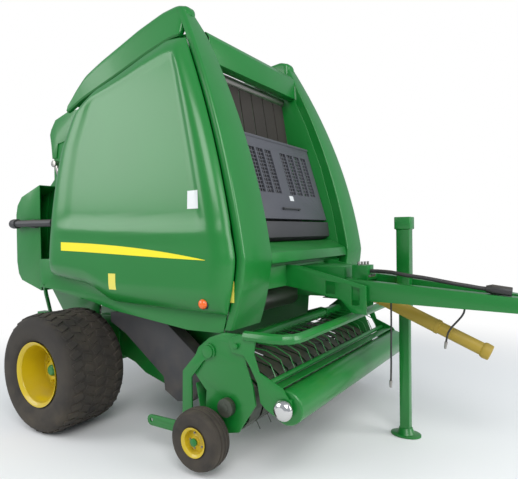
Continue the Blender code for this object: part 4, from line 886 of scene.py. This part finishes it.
bm = bmesh.new()
for centre in (-0.285, 0.285):
    for column in range(4):
        y = centre + (column - 1.5) * 0.115
        for step in range(1, BARS_DOWN):
            down = 0.085 + 0.350 * step / BARS_DOWN
            add_rod(bm, cover_point(down, y - 0.046, LATTICE), cover_point(down, y + 0.046, LATTICE),
                    0.0045, 8)
        for across in (-0.015, 0.015):
            add_rod(bm, cover_point(0.084, y + across, LATTICE), cover_point(0.436, y + across, LATTICE),
                    0.0040, 8)
piece("cover_lattice", bm, "grey_plastic", "net_door")
bm = bmesh.new()
for y in (-0.12, 0.12):
    add_rod(bm, cover_point(0.56, y, -0.001), cover_point(0.56, y, 0.012), 0.010, 12)
add_rod(bm, cover_point(0.56, -0.13, 0.014), cover_point(0.56, 0.13, 0.014), 0.006, 12)
piece("cover_handle", bm, "black_plastic", "net_door")
bm = bmesh.new()
rows = []
for down in (0.45, 0.47, 0.49):
    spot = COVER_TOP + slope * down + lift * 0.0012
    rows.append([(spot.x, y, spot.z) for y in (0.03, 0.06, 0.09)])
add_sheet(bm, rows, 0.0008)
piece("cover_plate", bm, "white_label", "net_door")
print("net cover done")

# %% [markdown]
# ## Pick-up, roller and drive shaft
# These are the working pieces at the front: worn bands and tines, a painted roller with bright end
# caps, and the plastic guard over the drive shaft.

# %% Pick-up, roller and drive shaft
piece("bands", softened("stripper_bands", 0.002), "worn", "pickup", ("stripper_bands",))
piece("tines", softened("tine_reel", 0.0015), "worn", "reel", ("tine_reel",))
axis_point = at(1.920, 0, 0.460)
bm = bmesh.new()
barrel = [(0.0, -1.020), (0.026, -1.020), (0.026, -0.962), (0.090, -0.960), (0.098, -0.952), (0.098, 0.952),
          (0.090, 0.960), (0.026, 0.962), (0.026, 1.020), (0.0, 1.020)]
add_turned(bm, eased(barrel, 0.003), axis_point, 72)
outward(bm)
piece("roller_tube", bm, "green", "guard_roller", ("windguard_roller",))
for side in SIDES:
    bm = bmesh.new()
    cap = [(0.0, 1.034), (0.028, 1.032), (0.046, 1.024), (0.058, 1.008), (0.060, 0.992), (0.0, 0.992)]
    add_turned(bm, mirrored_profile(eased(cap, 0.003), side), axis_point, 48)
    outward(bm)
    piece("roller_cap_" + word(side), bm, "chrome", "guard_roller")

PTO_START = at(1.985, 0, 1.035)
PTO_DROP = math.radians(23.4)
bm = bmesh.new()
shaft = [(0.0, 0.012), (0.016, 0.015), (0.016, 0.055), (0.050, 0.057), (0.052, 0.070)]
for ring in range(5):
    y = 0.078 + ring * 0.020
    shaft += [(0.0515, y), (0.0455, y + 0.006), (0.0455, y + 0.012), (0.0515, y + 0.016)]
shaft += [(0.045, 0.190), (0.045, 0.560), (0.0475, 0.562), (0.0475, 0.585), (0.041, 0.588), (0.041, 0.860),
          (0.047, 0.866), (0.051, 0.880), (0.048, 0.915), (0.040, 0.9185), (0.0, 0.9185)]
add_turned(bm, shaft, Vector((0, 0, 0)), 48)
outward(bm)
run = Vector((math.cos(PTO_DROP), 0, -math.sin(PTO_DROP)))
place = Matrix.Translation(PTO_START) @ run.to_track_quat("Y", "Z").to_matrix().to_4x4()
bmesh.ops.transform(bm, matrix=place, verts=bm.verts)
piece("shaft_guard", bm, "ochre_plastic", "shaft", ("drive_shaft",))
print("front pieces done")

# %% [markdown]
# ## Lamps and fittings
# Small things finish the machine: lamps, bolt heads, hose fittings. They are bought-in pieces on
# the real one, so each has a shape and a finish of its own.

# %% Lamps and fittings
LAMP_X, LAMP_Z = 1.405, 1.015
for side in SIDES:
    arm = "rear_lamp_" + word(side)
    piece("rear_lamp_arm_" + word(side), softened(arm, 0.003), "black_plastic", "tailgate", (arm,))
    bm = bmesh.new()
    add_rod(bm, at(-0.9052, side * 0.848, 1.538), at(-0.912, side * 0.848, 1.538), 0.035, 32, 0.030)
    piece("rear_lens_" + word(side), bm, "red", "tailgate")
    on_door = door_surface(LAMP_X, LAMP_Z)
    bm = bmesh.new()
    base = [(0.0, on_door + 0.006), (0.033, on_door + 0.005), (0.035, on_door - 0.022),
            (0.0, on_door - 0.022)]
    add_turned(bm, mirrored_profile(base, side), at(LAMP_X, 0, LAMP_Z), 40)
    outward(bm)
    piece("lamp_base_" + word(side), bm, "black_plastic", "door_" + word(side))
    bm = bmesh.new()
    lens = [(0.0, 0.029), (0.018, 0.026), (0.027, 0.018), (0.030, 0.0065), (0.0, 0.0065)]
    add_turned(bm, mirrored_profile([(r, on_door + y) for r, y in lens], side), at(LAMP_X, 0, LAMP_Z), 40)
    outward(bm)
    piece("side_lens_" + word(side), bm, "amber", "door_" + word(side))
bm = bmesh.new()
for i in range(4):
    y = -0.145 + i * 0.026
    add_rod(bm, at(2.100, y, 1.135), at(2.118, y, 1.135), 0.009, 6)
    add_rod(bm, at(2.03 + 0.012 * i, y, 1.205), at(2.03 + 0.012 * i, y, 1.228), 0.008, 6)
piece("valve_fittings", bm, "steel", "baler")
print("fittings done")
